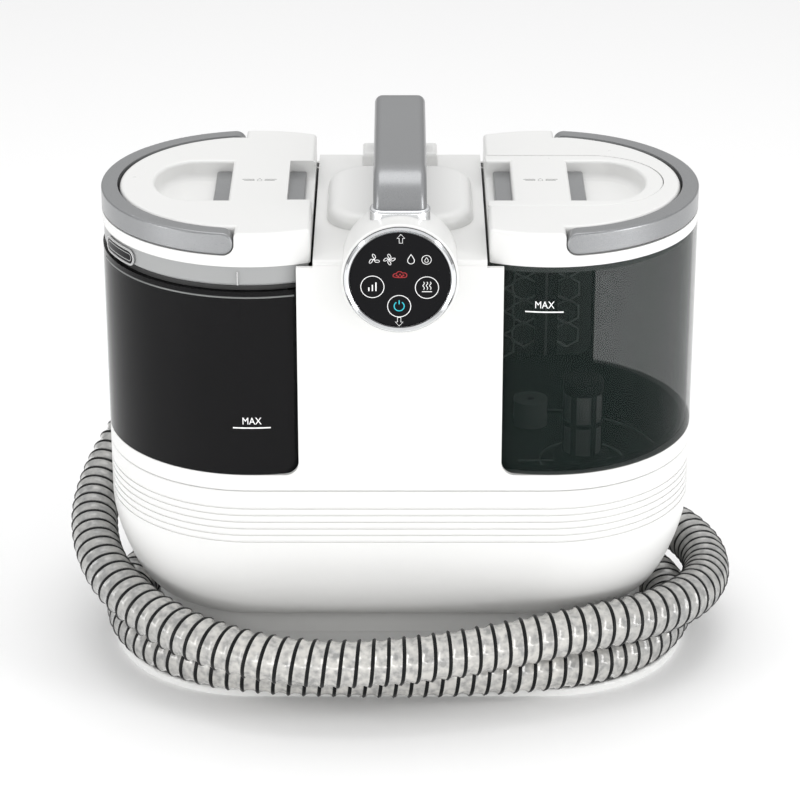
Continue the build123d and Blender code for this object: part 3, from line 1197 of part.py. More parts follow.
hose_radii = bend_radii(HOSE_ROUTE)
with BuildPart() as hose:
    with BuildLine() as hose_line:
        FilletPolyline(*HOSE_ROUTE, radius=hose_radii)
    with BuildSketch(Plane(origin=hose_line.line @ 0, z_dir=hose_line.line % 0)):
        Circle(HOSE_DIAMETER / 2)
    sweep()
label(hose, "hose")
section = pi * HOSE_DIAMETER ** 2 / 4
print("hose length", round(hose_line.wire().length, 1), "tightest bend", round(min(hose_radii), 1))
print("hose volume over section", round(hose.part.volume / section, 1))
print("hose bend radii", [round(radius) for radius in hose_radii])
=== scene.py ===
import json
from math import cos, pi, radians, sin, tau

import bmesh
import bpy
from mathutils import Matrix, Vector


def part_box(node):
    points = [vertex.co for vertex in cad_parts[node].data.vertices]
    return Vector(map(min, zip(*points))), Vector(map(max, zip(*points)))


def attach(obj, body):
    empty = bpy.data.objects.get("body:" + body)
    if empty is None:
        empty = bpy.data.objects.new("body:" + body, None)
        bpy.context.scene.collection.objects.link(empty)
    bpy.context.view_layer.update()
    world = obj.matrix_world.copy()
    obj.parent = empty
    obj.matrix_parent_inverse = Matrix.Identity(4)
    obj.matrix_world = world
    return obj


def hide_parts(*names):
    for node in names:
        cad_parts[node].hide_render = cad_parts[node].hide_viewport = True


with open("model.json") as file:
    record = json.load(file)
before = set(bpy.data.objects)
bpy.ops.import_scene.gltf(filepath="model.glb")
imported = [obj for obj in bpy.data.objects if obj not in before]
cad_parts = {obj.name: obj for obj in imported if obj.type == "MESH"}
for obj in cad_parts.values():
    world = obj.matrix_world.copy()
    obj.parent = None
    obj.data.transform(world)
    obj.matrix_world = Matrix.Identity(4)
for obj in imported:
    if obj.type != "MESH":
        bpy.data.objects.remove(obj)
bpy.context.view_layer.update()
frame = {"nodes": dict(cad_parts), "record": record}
record = frame["record"]
nodes = frame["nodes"]
MM = 0.001


# ---------------------------------------------------------------- sizes read from the frame
def span(node):
    """Low corner, high corner and middle of a CAD node."""
    low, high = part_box(node)
    return low, high, (low + high) / 2


SHELL_LOW, SHELL_HIGH, _ = span("lower_shell")
END_R = (SHELL_HIGH.y - SHELL_LOW.y) / 2
END_X = SHELL_HIGH.x - END_R
LID_TOP = span("clean_lid")[1].z
GLASS_LOW, _, GLASS_MID = span("display_glass")
GLASS_FRONT = GLASS_LOW.y

BACK_WALL_Y = 77.0 * MM         # inner back wall of the clean tank
CHANNEL_LOW = 88.5 * MM         # sides of the plain channel in the clean tank's dished plate
CHANNEL_HIGH = 103.5 * MM
CHANNEL_MIDDLE = (CHANNEL_LOW + CHANNEL_HIGH) / 2
TANK_SIDE_X = 56.6 * MM         # inner side wall and roof of the clean tank
TANK_ROOF_Z = 289.0 * MM
COLLAR_MID_Z = 285.8 * MM       # middle of the collar under the dirty tank's lid
POUR_LONG = 17.5 * MM           # half length and half height of the pour slot in that collar
POUR_TALL = 4.6 * MM
POUR_ANGLE = radians(211)
TICK_X = -97.0                  # the small mark moulded on the collar
# Height of the painted highlight along the dirty tank's top edge, a light grey bead.
PAINTED_RIM_HIGHLIGHT_Z = 273.3 * MM
FILL_LINE_HALF = 11.5           # half length of the filling limit's line
FILL_TEXT_RISE = 4.4
FILL_TEXT_SIZE = 6.6


# ---------------------------------------------------------------- shader helpers
class Sock:
    """A shader value that takes part in ordinary arithmetic."""

    def __init__(self, shader, socket):
        self.shader = shader
        self.socket = socket

    def _math(self, operation, first, second):
        return self.shader.add("ShaderNodeMath", {"operation": operation}, {0: first, 1: second})

    def __add__(self, other):
        return self._math("ADD", self, other)

    def __sub__(self, other):
        return self._math("SUBTRACT", self, other)

    def __rsub__(self, other):
        return self._math("SUBTRACT", other, self)

    def __mul__(self, other):
        return self._math("MULTIPLY", self, other)

    def __gt__(self, other):
        return self._math("GREATER_THAN", self, other)

    def __lt__(self, other):
        return self._math("LESS_THAN", self, other)


class Shader:
    """One material and the nodes that are added to it."""

    def __init__(self, name, **sockets):
        self.material = bpy.data.materials.new(name)
        self.material.use_nodes = True
        self.tree = self.material.node_tree
        self.surface = self.tree.nodes["Principled BSDF"]
        for socket, value in sockets.items():
            self.set(socket.replace("_", " "), value)

    def set(self, socket, value):
        """Give the surface a plain value or a link."""
        target = self.surface.inputs[socket]
        if isinstance(value, Sock):
            self.tree.links.new(value.socket, target)
        else:
            target.default_value = value

    def add(self, kind, settings=None, inputs=None, output=0):
        """Add any node: its settings first, then the values or links of its sockets."""
        node = self.tree.nodes.new(kind)
        for name, value in (settings or {}).items():
            if name == "stops":
                ramp = node.color_ramp
                while len(ramp.elements) < len(value):
                    ramp.elements.new(0.5)
                for element, (place, color) in zip(ramp.elements, value):
                    element.position = place
                    element.color = color
            else:
                setattr(node, name, value)
        for name, value in (inputs or {}).items():
            if isinstance(value, Sock):
                self.tree.links.new(value.socket, node.inputs[name])
            else:
                node.inputs[name].default_value = value
        return Sock(self, node.outputs[output])

    def place(self):
        """Object coordinates."""
        return self.add("ShaderNodeTexCoord", output="Object")

    def noise(self, scale, detail=2.0, rough=0.5, vector=None):
        """Soft noise, from 0 to 1."""
        return self.add("ShaderNodeTexNoise", inputs={"Vector": vector or self.place(), "Scale": scale,
                                                      "Detail": detail, "Roughness": rough})

    def mix(self, factor, first, second):
        """Blend two colours."""
        node = self.tree.nodes.new("ShaderNodeMix")
        node.data_type = "RGBA"
        for index, value in ((0, factor), (6, first), (7, second)):
            if isinstance(value, Sock):
                self.tree.links.new(value.socket, node.inputs[index])
            else:
                node.inputs[index].default_value = value
        return Sock(self, node.outputs[2])

    def part(self, vector, index):
        """One coordinate of a vector."""
        return self.add("ShaderNodeSeparateXYZ", inputs={0: vector}, output=index)

    def ramp(self, factor, *stops):
        """A colour or grey read along the given stops."""
        return self.add("ShaderNodeValToRGB", {"stops": stops}, {"Fac": factor})

    def bump(self, height, strength, distance):
        """Raise the surface by a height map."""
        self.set("Normal", self.add("ShaderNodeBump", inputs={"Height": height, "Strength": strength,
                                                              "Distance": distance}))


def grey(value, alpha=1.0):
    """A neutral colour."""
    return (value, value, value, alpha)


# ---------------------------------------------------------------- materials
def moulded(name, color, dark, gloss, coat=0.0, grain=700.0, depth=0.00001):
    """Moulded plastic: a faint colour drift, an uneven gloss and a fine skin texture."""
    shader = Shader(name, Coat_Weight=coat, Coat_Roughness=0.06)
    drift = shader.noise(9.0, 3.0)
    shader.set("Base Color", shader.mix(drift, color, dark))
    shader.set("Roughness", shader.noise(40.0, 3.0) * 0.10 + (gloss - 0.05))
    shader.bump(shader.noise(grain, 2.0), 0.05, depth)
    return shader.material


def brushed_silver():
    """Satin silver paint with its metal flake."""
    shader = Shader("satin_silver", Metallic=0.75, Coat_Weight=0.25, Coat_Roughness=0.18)
    flake = shader.noise(2600.0, 1.0)
    drift = shader.noise(14.0, 3.0)
    tone = shader.mix(flake, (0.22, 0.225, 0.232, 1), (0.40, 0.405, 0.412, 1))
    shader.set("Base Color", shader.mix(drift * 0.25, tone, (0.21, 0.215, 0.22, 1)))
    shader.set("Roughness", flake * 0.14 + 0.24)
    shader.bump(flake, 0.10, 0.00004)
    return shader.material


def polished_ring():
    """Bright plated trim."""
    shader = Shader("polished_trim", Metallic=1.0)
    smear = shader.noise(60.0, 3.0)
    shader.set("Base Color", shader.mix(smear, (0.86, 0.87, 0.88, 1), (0.74, 0.75, 0.77, 1)))
    shader.set("Roughness", smear * 0.08 + 0.06)
    shader.bump(shader.noise(300.0), 0.04, 0.00002)
    return shader.material


def smoked(name, color, deep, alpha, gloss=0.06):
    """See-through smoked plastic, a little denser in places, with faint moulding waves."""
    shader = Shader(name, Specular_IOR_Level=0.14)
    drift = shader.noise(7.0, 2.0)
    shader.set("Base Color", shader.mix(drift, color, deep))
    shader.set("Roughness", shader.noise(30.0, 2.0) * 0.05 + (gloss - 0.02))
    shader.set("Alpha", drift * 0.05 + (alpha - 0.025))
    shader.bump(shader.noise(14.0, 1.0), 0.03, 0.0004)
    return shader.material


def display_black():
    """Black printed glass with a soft sheen."""
    shader = Shader("display_black", Specular_IOR_Level=0.12)
    dust = shader.noise(900.0, 1.0) > 0.74
    shader.set("Base Color", shader.mix(dust * 0.12, (0.004, 0.004, 0.005, 1), grey(0.05)))
    shader.set("Roughness", dust * 0.2 + 0.08)
    return shader.material


def rubber():
    """Black rubber with a matt, slightly dusty skin."""
    shader = Shader("black_rubber")
    dust = shader.noise(120.0, 4.0)
    shader.set("Base Color", shader.mix(dust, grey(0.018), grey(0.045)))
    shader.set("Roughness", dust * 0.2 + 0.55)
    shader.bump(shader.noise(700.0, 3.0), 0.25, 0.0001)
    return shader.material


def cast_metal():
    """Die-cast motor metal."""
    shader = Shader("cast_metal", Metallic=1.0)
    pits = shader.noise(350.0, 4.0)
    shader.set("Base Color", shader.mix(pits, grey(0.42), grey(0.62)))
    shader.set("Roughness", pits * 0.25 + 0.35)
    shader.bump(pits, 0.3, 0.0002)
    return shader.material


def turned_steel():
    """Turned steel pins."""
    shader = Shader("turned_steel", Metallic=1.0)
    lines = shader.add("ShaderNodeTexWave", {"bands_direction": "Y"},
                       {"Vector": shader.place(), "Scale": 900.0})
    shader.set("Base Color", shader.mix(lines, grey(0.55), grey(0.7)))
    shader.set("Roughness", lines * 0.1 + 0.25)
    return shader.material


def circuit():
    """Green circuit board with tracks."""
    shader = Shader("circuit_board")
    cells = shader.add("ShaderNodeTexVoronoi", {"distance": "MANHATTAN"},
                       {"Vector": shader.place(), "Scale": 420.0})
    track = cells < 0.28
    shader.set("Base Color", shader.mix(track, (0.01, 0.10, 0.045, 1), (0.05, 0.30, 0.10, 1)))
    shader.set("Roughness", track * 0.15 + 0.35)
    return shader.material


def pleated_filter():
    """Dark pleated filter cloth."""
    shader = Shader("pleated_filter", Sheen_Weight=0.3)
    fibre = shader.noise(1500.0, 4.0)
    shader.set("Base Color", shader.mix(fibre, grey(0.05), grey(0.13)))
    shader.set("Roughness", fibre * 0.1 + 0.85)
    shader.bump(fibre, 0.5, 0.0003)
    return shader.material


def ink(name, color, glow=0.0):
    """Printed or backlit marks."""
    shader = Shader(name, Emission_Color=color, Emission_Strength=glow)
    wear = shader.noise(1200.0, 2.0)
    dim = tuple(channel * 0.85 for channel in color[:3]) + (1,)
    shader.set("Base Color", shader.mix(wear, color, dim))
    shader.set("Roughness", wear * 0.1 + 0.35)
    return shader.material


HOSE_PITCH = 9.4 * MM
HOSE_BAND = 0.25


def hose_skin():
    """Grey cloudy wall with a black spiral band on each crest, painted darker towards the far left and right
    as painted shade; V of the UV map counts the spiral's turns.
    """
    shader = Shader("hose_skin", Specular_IOR_Level=0.22, Coat_Roughness=0.05)
    along = shader.part(shader.add("ShaderNodeUVMap", {"uv_map": "spiral"}), 1)
    phase = shader.add("ShaderNodeMath", {"operation": "FRACT"}, {0: along})
    crest = shader.add("ShaderNodeMath", {"operation": "ABSOLUTE"}, {0: phase - 0.5})
    band = crest > (0.5 - HOSE_BAND / 2)
    blotch = shader.noise(210.0, 2.0, 0.5)
    streak = shader.noise(38.0, 2.0)
    wall = shader.ramp(blotch, (0.30, (0.20, 0.205, 0.21, 1)), (0.47, (0.46, 0.455, 0.44, 1)),
                       (0.62, (0.68, 0.665, 0.63, 1)))
    wall = shader.mix(streak * 0.5 + 0.15, wall, (0.50, 0.49, 0.465, 1))
    # Painted shade: the wall is painted darker towards the hose's far left and right.
    reach = shader.add("ShaderNodeMath", {"operation": "ABSOLUTE"}, {0: shader.part(shader.place(), 0)})
    outer = shader.ramp(reach * 4.0, (0.40, grey(0)), (0.76, grey(1)))
    wall = shader.mix(outer * 0.55, wall, (0.20, 0.205, 0.205, 1))
    shader.set("Base Color", shader.mix(band, wall, (0.0012, 0.0016, 0.002, 1)))
    shader.set("Metallic", (1 - band) * 0.12)
    shader.set("Coat Weight", (1 - band) * 0.85)
    shader.set("Roughness", blotch * 0.08 + band * 0.25 + 0.10)
    shader.bump(shader.noise(70.0, 2.0), 0.20, 0.0006)
    return shader.material


FINISHES = {
    "housing_white": moulded("white_gloss", (0.80, 0.80, 0.79, 1), (0.77, 0.77, 0.76, 1), 0.30, coat=0.18),
    "silver_plastic": brushed_silver(),
    "chrome_trim": polished_ring(),
    "smoked_clear": smoked("smoked_tank", (0.010, 0.018, 0.016, 1), (0.006, 0.012, 0.010, 1), 0.47),
    "smoked_dark": smoked("dark_tank", (0.004, 0.004, 0.0045, 1), (0.006, 0.006, 0.0065, 1), 0.92),
    "black_glass": display_black(),
    "rubber_black": rubber(),
    "grey_plastic": moulded("grey_plastic", (0.36, 0.365, 0.365, 1), (0.32, 0.325, 0.325, 1), 0.34),
    "dark_plastic": moulded("dark_plastic", (0.030, 0.030, 0.033, 1), (0.045, 0.045, 0.048, 1), 0.38),
    "motor_metal": cast_metal(),
    "steel_pin": turned_steel(),
    "circuit_green": circuit(),
    "foam_filter": pleated_filter(),
    "hose_wall": hose_skin(),
}
# The white ink glows faintly; on the printed filling marks of the tanks this glow is a painted glow.
WHITE_INK = ink("white_ink", grey(0.85), 0.25)
TEAL_LIGHT = ink("teal_light", (0.02, 0.42, 0.50, 1), 0.5)
RED_LIGHT = ink("red_light", (0.30, 0.006, 0.010, 1), 0.35)
GREY_INK = ink("grey_ink", grey(0.03))


def clear_edge():
    """Polished clear plastic edge."""
    shader = Shader("clear_edge", Specular_IOR_Level=0.8)
    drift = shader.noise(60.0, 2.0)
    shader.set("Base Color", shader.mix(drift, grey(0.75), grey(0.55)))
    shader.set("Roughness", drift * 0.06 + 0.05)
    shader.set("Alpha", drift * 0.1 + 0.65)
    return shader.material


def net_cloth():
    """Fine woven net."""
    shader = Shader("filter_net")
    cells = shader.add("ShaderNodeTexVoronoi", {"distance": "CHEBYCHEV"},
                       {"Vector": shader.place(), "Scale": 1100.0, "Randomness": 0.25})
    shader.set("Base Color", shader.mix(cells, grey(0.60), grey(0.22)))
    shader.set("Roughness", cells * 0.2 + 0.5)
    shader.bump(cells, 0.4, 0.0002)
    return shader.material


def dished_plate_painted_light():
    """Smoked grey plate with painted light: its ribs are painted lighter as a painted highlight, and the
    dishes behind them and the deep channel are painted darker as painted shade.
    """
    shader = Shader("dished_plate_painted_light", Coat_Weight=0.6, Coat_Roughness=0.1)
    across, back = (shader.part(shader.place(), index) for index in (0, 1))
    # Mask of the ribs: they get the light grey as a painted highlight, and the dishes behind them the dark
    # grey as painted shade.
    rib = back < BACK_WALL_Y - 1.25 * MM
    channel = (across > CHANNEL_LOW - 0.1 * MM) * (across < CHANNEL_HIGH + 0.1 * MM)
    tone = shader.mix(rib, (0.15, 0.16, 0.155, 1), (0.42, 0.45, 0.44, 1))
    # Painted shade: the deep channel is painted near black.
    tone = shader.mix(channel, tone, grey(0.07))
    middle = (across > CHANNEL_MIDDLE - 0.8 * MM) * (across < CHANNEL_MIDDLE + 0.8 * MM)
    tone = shader.mix(middle, tone, grey(0.30))
    shader.set("Base Color", tone)
    shader.set("Roughness", shader.noise(30.0, 2.0) * 0.10 + 0.25)
    return shader.material


DISHED_PAINTED_LIGHT = dished_plate_painted_light()
CLEAR_EDGE = clear_edge()
NET = net_cloth()
SMOKED_GREY = moulded("smoked_grey", (0.46, 0.49, 0.48, 1), (0.40, 0.43, 0.42, 1), 0.24, coat=0.5)
# Light grey material that paints the highlight along the dirty tank's top edge.
PAINTED_RIM_HIGHLIGHT = moulded("painted_rim_highlight", (0.26, 0.27, 0.265, 1), (0.10, 0.105, 0.102, 1), 0.2)


def dress(piece, material):
    """Give a piece one material."""
    piece.data.materials.clear()
    piece.data.materials.append(material)


for part in record["subparts"]:
    dress(nodes[part["node"]], FINISHES[part["material_slot"]])
for inner in ("clean_valve_housing", "clean_lid_seal"):
    dress(nodes[inner], SMOKED_GREY)


# ---------------------------------------------------------------- modelling helpers
def clear_selection():
    """Leave edit mode and select nothing."""
    if bpy.context.object and bpy.context.object.mode != "OBJECT":
        bpy.ops.object.mode_set(mode="OBJECT")
    bpy.ops.object.select_all(action="DESELECT")


def settle(piece, name, material, body):
    """Name a finished piece, put its place into its mesh, and let it ride on its body."""
    clear_selection()
    bpy.context.view_layer.objects.active = piece
    piece.select_set(True)
    bpy.ops.object.transform_apply(location=True, rotation=True, scale=True)
    piece.name = name
    dress(piece, material)
    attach(piece, body)
    return piece


# ---------------------------------------------------------------- camera
VIEW_DISTANCE = 2.0
VIEW_TILT = radians(24.1)
VIEW_HEIGHT = 0.1645
LENS = 140.8


def add_camera():
    """The view from the front and a little above."""
    data = bpy.data.cameras.new("view")
    data.lens = LENS
    data.sensor_width = 36.0
    camera = bpy.data.objects.new("view", data)
    bpy.context.scene.collection.objects.link(camera)
    camera.location = (0, -VIEW_DISTANCE * cos(VIEW_TILT), VIEW_HEIGHT + VIEW_DISTANCE * sin(VIEW_TILT))
    camera.rotation_euler = (pi / 2 - VIEW_TILT, 0, 0)
    bpy.context.scene.camera = camera


add_camera()


# ---------------------------------------------------------------- hose
HOSE_R = 15.5 * MM
HOSE_SAG = 1.9 * MM
HOSE_SIDES = 40
RINGS_PER_TURN = 8
HOSE_ROUTE = [
    (-132, 118, 118),
    (-154, 118, 117.5), (-177, 108, 104), (-192, 84, 88), (-200, 48, 78), (-201, 12, 71),
    (-193, -26, 63), (-176, -58, 56), (-150, -86, 50), (-122, -107, 47), (-84, -123, 44), (-42, -129, 43),
    (0, -127, 44),
    (42, -119, 46), (84, -109, 50), (122, -96, 52), (156, -78, 50), (186, -47, 47),
    (201, -8, 43), (201, 31, 42), (185, 69, 42), (156, 100, 41), (116, 118, 39),
    (66, 126, 36), (12, 125, 34), (-40, 124, 31), (-90, 118, 26), (-134, 99, 22), (-164, 64, 20.5),
    (-178, 22, 20.5), (-177, -20, 20.6), (-159, -58, 20.5), (-126, -85, 20.6), (-84, -96, 20.5),
    (-40, -99, 20.6), (4, -100, 20.5), (46, -98, 20.6), (88, -92, 20.5), (126, -82, 20.6), (157, -58, 20.5),
    (176, -22, 20.6), (177, 20, 20.5), (161, 57, 20.6), (128, 81, 20.8), (88, 91, 22), (48, 88, 24),
    (10, 88, 24),
]


def spline_points(route, steps):
    """Points along the smooth line that a route controls."""
    curve = bpy.data.curves.new("route", "CURVE")
    curve.dimensions = "3D"
    spline = curve.splines.new("NURBS")
    spline.points.add(len(route) - 1)
    for point, place in zip(spline.points, route):
        point.co = (*(coordinate * MM for coordinate in place), 1)
    spline.order_u = 3
    spline.use_endpoint_u = True
    spline.resolution_u = steps
    holder = bpy.data.objects.new("route", curve)
    bpy.context.scene.collection.objects.link(holder)
    bpy.context.view_layer.update()
    mesh = bpy.data.meshes.new_from_object(holder)
    points = [vertex.co.copy() for vertex in mesh.vertices]
    bpy.data.objects.remove(holder)
    return points


def even_points(points, gap):
    """The same line with points a fixed distance apart, and the distance of each from the start."""
    reach = [0.0]
    for before, after in zip(points, points[1:]):
        reach.append(reach[-1] + (after - before).length)
    count = max(2, round(reach[-1] / gap))
    made = []
    index = 0
    for step in range(count + 1):
        distance = reach[-1] * step / count
        while index < len(points) - 2 and reach[index + 1] < distance:
            index += 1
        share = (distance - reach[index]) / max(1e-9, reach[index + 1] - reach[index])
        made.append((points[index].lerp(points[index + 1], share), distance))
    return made


def carried_frames(line):
    """A sideways and an upwards direction at each point, carried along without twist."""
    frames = []
    side = Vector((0, 0, 1))
    for index, (point, distance) in enumerate(line):
        before = line[max(0, index - 1)][0]
        after = line[min(len(line) - 1, index + 1)][0]
        ahead = (after - before).normalized()
        side = (side - ahead * side.dot(ahead)).normalized()
        frames.append((point, distance, side, ahead.cross(side)))
    return frames


def add_hose():
    """The ribbed tube: its wall sags between the turns of a spiral that stands out as a rounded rib."""
    points = spline_points(HOSE_ROUTE, 24)
    line = even_points(points, HOSE_PITCH / RINGS_PER_TURN)
    mesh = bpy.data.meshes.new("hose_ribbed")
    shape = bmesh.new()
    unwrap = shape.loops.layers.uv.new("spiral")
    rings = []
    turns = []
    for point, distance, side, up in carried_frames(line):
        ring = []
        for step in range(HOSE_SIDES):
            angle = tau * step / HOSE_SIDES
            along = distance / HOSE_PITCH + step / HOSE_SIDES
            crest = abs((along % 1.0) - 0.5) * 2
            radius = HOSE_R - HOSE_SAG * (1 - crest ** 2.2)
            ring.append(shape.verts.new(point + (side * cos(angle) + up * sin(angle)) * radius))
        rings.append(ring)
        turns.append(distance / HOSE_PITCH)
    for index in range(len(rings) - 1):
        for step in range(HOSE_SIDES):
            following = (step + 1) % HOSE_SIDES
            corners = (rings[index][step], rings[index][following], rings[index + 1][following],
                       rings[index + 1][step])
            face = shape.faces.new(corners)
            face.smooth = True
            places = ((index, step), (index, step + 1), (index + 1, step + 1), (index + 1, step))
            for loop, (row, column) in zip(face.loops, places):
                loop[unwrap].uv = (column / HOSE_SIDES, turns[row] + column / HOSE_SIDES)
    shape.faces.new(reversed(rings[0]))
    shape.faces.new(rings[-1])
    bmesh.ops.recalc_face_normals(shape, faces=shape.faces)
    shape.to_mesh(mesh)
    shape.free()
    hose = bpy.data.objects.new("hose_ribbed", mesh)
    bpy.context.scene.collection.objects.link(hose)
    settle(hose, "hose_ribbed", FINISHES["hose_wall"], "root")
    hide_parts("hose")


add_hose()


# ---------------------------------------------------------------- marks
def stroke(points, width=0.42, closed=False, smooth=False):
    """A round line of the given width through points in millimetres, left and right in X and up in Z."""
    curve = bpy.data.curves.new("stroke", "CURVE")
    curve.dimensions = "3D"
    curve.bevel_depth = width * MM / 2
    curve.bevel_resolution = 2
    curve.use_fill_caps = True
    spline = curve.splines.new("NURBS" if smooth else "POLY")
    spline.points.add(len(points) - 1)
    for point, (x, z) in zip(spline.points, points):
        point.co = (x * MM, 0, z * MM, 1)
    spline.use_cyclic_u = closed
    if smooth:
        spline.order_u = 3
        spline.use_endpoint_u = not closed
        spline.resolution_u = 8
    line = bpy.data.objects.new("stroke", curve)
    bpy.context.scene.collection.objects.link(line)
    return line


def oval(center, radius_x, radius_z, lean=0.0, count=20, start=0.0, sweep=tau):
    """Points round an oval, or round part of it."""
    points = []
    closed = sweep >= tau
    for step in range(count + (0 if closed else 1)):
        angle = start + sweep * step / count
        x, z = radius_x * cos(angle), radius_z * sin(angle)
        points.append((center[0] + x * cos(lean) - z * sin(lean), center[1] + x * sin(lean) + z * cos(lean)))
    return points


def fan(center, blades):
    """A little fan: rounded blades round a dot."""
    lines = [stroke(oval(center, 0.35, 0.35), 0.5, closed=True)]
    for blade in range(blades):
        angle = pi / 2 + tau * blade / blades
        middle = (center[0] + 2.1 * cos(angle), center[1] + 2.1 * sin(angle))
        lines.append(stroke(oval(middle, 1.45, 0.75, angle + 0.5), 0.36, closed=True))
    return lines


def drop(center, size=1.0):
    """A water drop standing on its round end."""
    x, z = center
    outline = [(0, 3.4), (0, 3.4), (-1.3, 1.4), (-2.2, -0.4), (-1.9, -2.2),
               (0, -3.1), (1.9, -2.2), (2.2, -0.4), (1.3, 1.4), (0, 3.4)]
    return [stroke([(x + a * size, z + b * size) for a, b in outline], 0.42 * max(size, 0.7), smooth=True)]


def block_arrow(center, facing):
    """An outlined arrow that points up or down."""
    outline = [(0, 2.9), (2.3, 0.3), (1.0, 0.3), (1.0, -2.6), (-1.0, -2.6), (-1.0, 0.3), (-2.3, 0.3)]
    return [stroke([(center[0] + x, center[1] + z * facing) for x, z in outline], 0.40, closed=True)]


def merge(lines):
    """Turn lines and lettering into one mesh object."""
    clear_selection()
    for line in lines:
        line.select_set(True)
    bpy.context.view_layer.objects.active = lines[0]
    bpy.ops.object.convert(target="MESH")
    if len(lines) > 1:
        bpy.ops.object.join()
    return bpy.context.object


def lay_marks(lines, name, material, body, place, thick=0.12):
    """Flatten lines to a thin print, and move it from the XZ plane to its place."""
    print_ = merge(lines)
    flatten = Matrix.Diagonal((1, thick, 1, 1))
    print_.data.transform(place @ flatten)
    return settle(print_, name, material, body)


def display_marks():
    """Symbols under the display glass: fans, drops, a cloud, three round keys and two arrows."""
    ring = 6.9
    bars_key, heat_key, power_key = (-16.4, -4.4), (16.0, -4.9), (-0.5, -16.8)
    white = fan((-15.4, 13.0), 3) + fan((-6.3, 13.0), 4) + drop((6.5, 13.0), 0.95) + drop((15.7, 12.6), 0.5)
    white.append(stroke(oval((15.7, 12.8), 2.8, 2.8, count=28), 0.36, closed=True))
    white += block_arrow((0.5, 26.0), 1) + block_arrow((-0.5, -26.7), -1)
    for key in (bars_key, heat_key, power_key):
        white.append(stroke(oval(key, ring, ring, count=48), 0.45, closed=True))
    for offset, height in ((-2.1, 2.4), (0, 4.0), (2.1, 5.6)):
        x, low = bars_key[0] + offset, bars_key[1] - 2.7
        white.append(stroke([(x, low), (x, low + height)], 0.75))
    for offset in (-2.0, 0, 2.0):
        x, low = heat_key[0] + offset, heat_key[1] - 1.3
        wave = [(x, low), (x + 0.8, low + 1.1), (x - 0.8, low + 2.6), (x + 0.8, low + 4.0), (x, low + 5.0)]
        white.append(stroke(wave, 0.42, smooth=True))
    x, low = heat_key[0], heat_key[1] - 2.6
    white.append(stroke([(x - 3.0, low), (x + 3.0, low)], 0.5))
    x, z = power_key
    teal = [stroke(oval(power_key, 3.0, 3.0, count=30, start=pi / 2 + 0.6, sweep=tau - 1.2), 0.62),
            stroke([(x, z + 1.2), (x, z + 3.8)], 0.62)]
    cloud = [(-3.9, -1.3), (-4.3, 0.1), (-3.1, 1.2), (-2.2, 1.0), (-1.4, 2.4), (0.6, 2.5),
             (1.5, 1.4), (2.6, 1.8), (4.1, 0.9), (4.0, -0.7), (3.0, -1.4)]
    red = [stroke([(x, 2.9 + z) for x, z in cloud], 0.55, closed=True, smooth=True)]
    for x, z in ((-2.0, 0.0), (0.0, 0.5), (2.0, 0.1), (-1.0, -0.7), (1.0, -0.6)):
        red.append(stroke(oval((x, 2.9 + z), 0.3, 0.3, count=8), 0.55, closed=True))
    place = Matrix.Translation((GLASS_MID.x, GLASS_FRONT - 0.00001, GLASS_MID.z))
    lay_marks(white, "display_symbols", WHITE_INK, "root", place)
    lay_marks(teal, "display_power_symbol", TEAL_LIGHT, "root", place)
    lay_marks(red, "display_cloud_symbol", RED_LIGHT, "root", place)


def lettering(text, size, center):
    """Plain block lettering in the XZ plane, centred on a point in millimetres."""
    curve = bpy.data.curves.new("lettering", "FONT")
    curve.body = text
    curve.size = size * MM
    curve.align_x = "CENTER"
    curve.align_y = "CENTER"
    curve.extrude = 0.10 * MM
    words = bpy.data.objects.new("lettering", curve)
    bpy.context.scene.collection.objects.link(words)
    words.rotation_euler = (pi / 2, 0, 0)
    words.scale = (0.84, 1, 1)
    words.location = (center[0] * MM, 0, center[1] * MM)
    return words


def fill_mark(name, body, center_x, line_z):
    """The filling limit on a tank's front: a word over a line, bent to the tank's round wall."""
    words = lettering("MAX", FILL_TEXT_SIZE, (center_x, line_z + FILL_TEXT_RISE))
    bar = stroke([(center_x - FILL_LINE_HALF, line_z), (center_x + FILL_LINE_HALF, line_z)], 0.9)
    mark = merge([words, bar])
    clear_selection()
    mark.select_set(True)
    bpy.context.view_layer.objects.active = mark
    bpy.ops.object.transform_apply(location=True, rotation=True, scale=True)
    bpy.ops.object.mode_set(mode="EDIT")
    bpy.ops.mesh.select_all(action="SELECT")
    bpy.ops.mesh.subdivide(number_cuts=3)
    bpy.ops.object.mode_set(mode="OBJECT")
    middle_x = END_X if center_x > 0 else -END_X
    for vertex in mark.data.vertices:
        bow = (END_R ** 2 - (vertex.co.x - middle_x) ** 2) ** 0.5
        vertex.co.y = -bow + max(-0.00008, min(0.00008, vertex.co.y * 0.2))
    # Painted glow: the white ink makes this printed mark glow faintly.
    settle(mark, name, WHITE_INK, body)


def lid_mark(name, body, middle_x):
    """A drop between two short waves, on the bridge of a lid."""
    lines = drop((0, 0), 0.70)
    for side in (-1, 1):
        for row, reach in ((0.9, 7.4), (-0.9, 6.2)):
            wave = [(side * (3.2 + reach * step / 6), row + (0.4 if step % 2 else -0.4)) for step in range(7)]
            lines.append(stroke(wave, 0.62, smooth=True))
    place = Matrix.Translation((middle_x, 0, LID_TOP)) @ Matrix.Rotation(-pi / 2, 4, "X")
    lay_marks(lines, name, GREY_INK, body, place, 0.2)


display_marks()
fill_mark("clean_fill_mark", "clean_tank_unit", 86.5, 264.1)
fill_mark("dirty_fill_mark", "dirty_tank_unit", -90.2, 187.8)
lid_mark("clean_lid_mark", "clean_cap_unit", 0.087)
lid_mark("dirty_lid_mark", "dirty_lid_unit", -0.087)


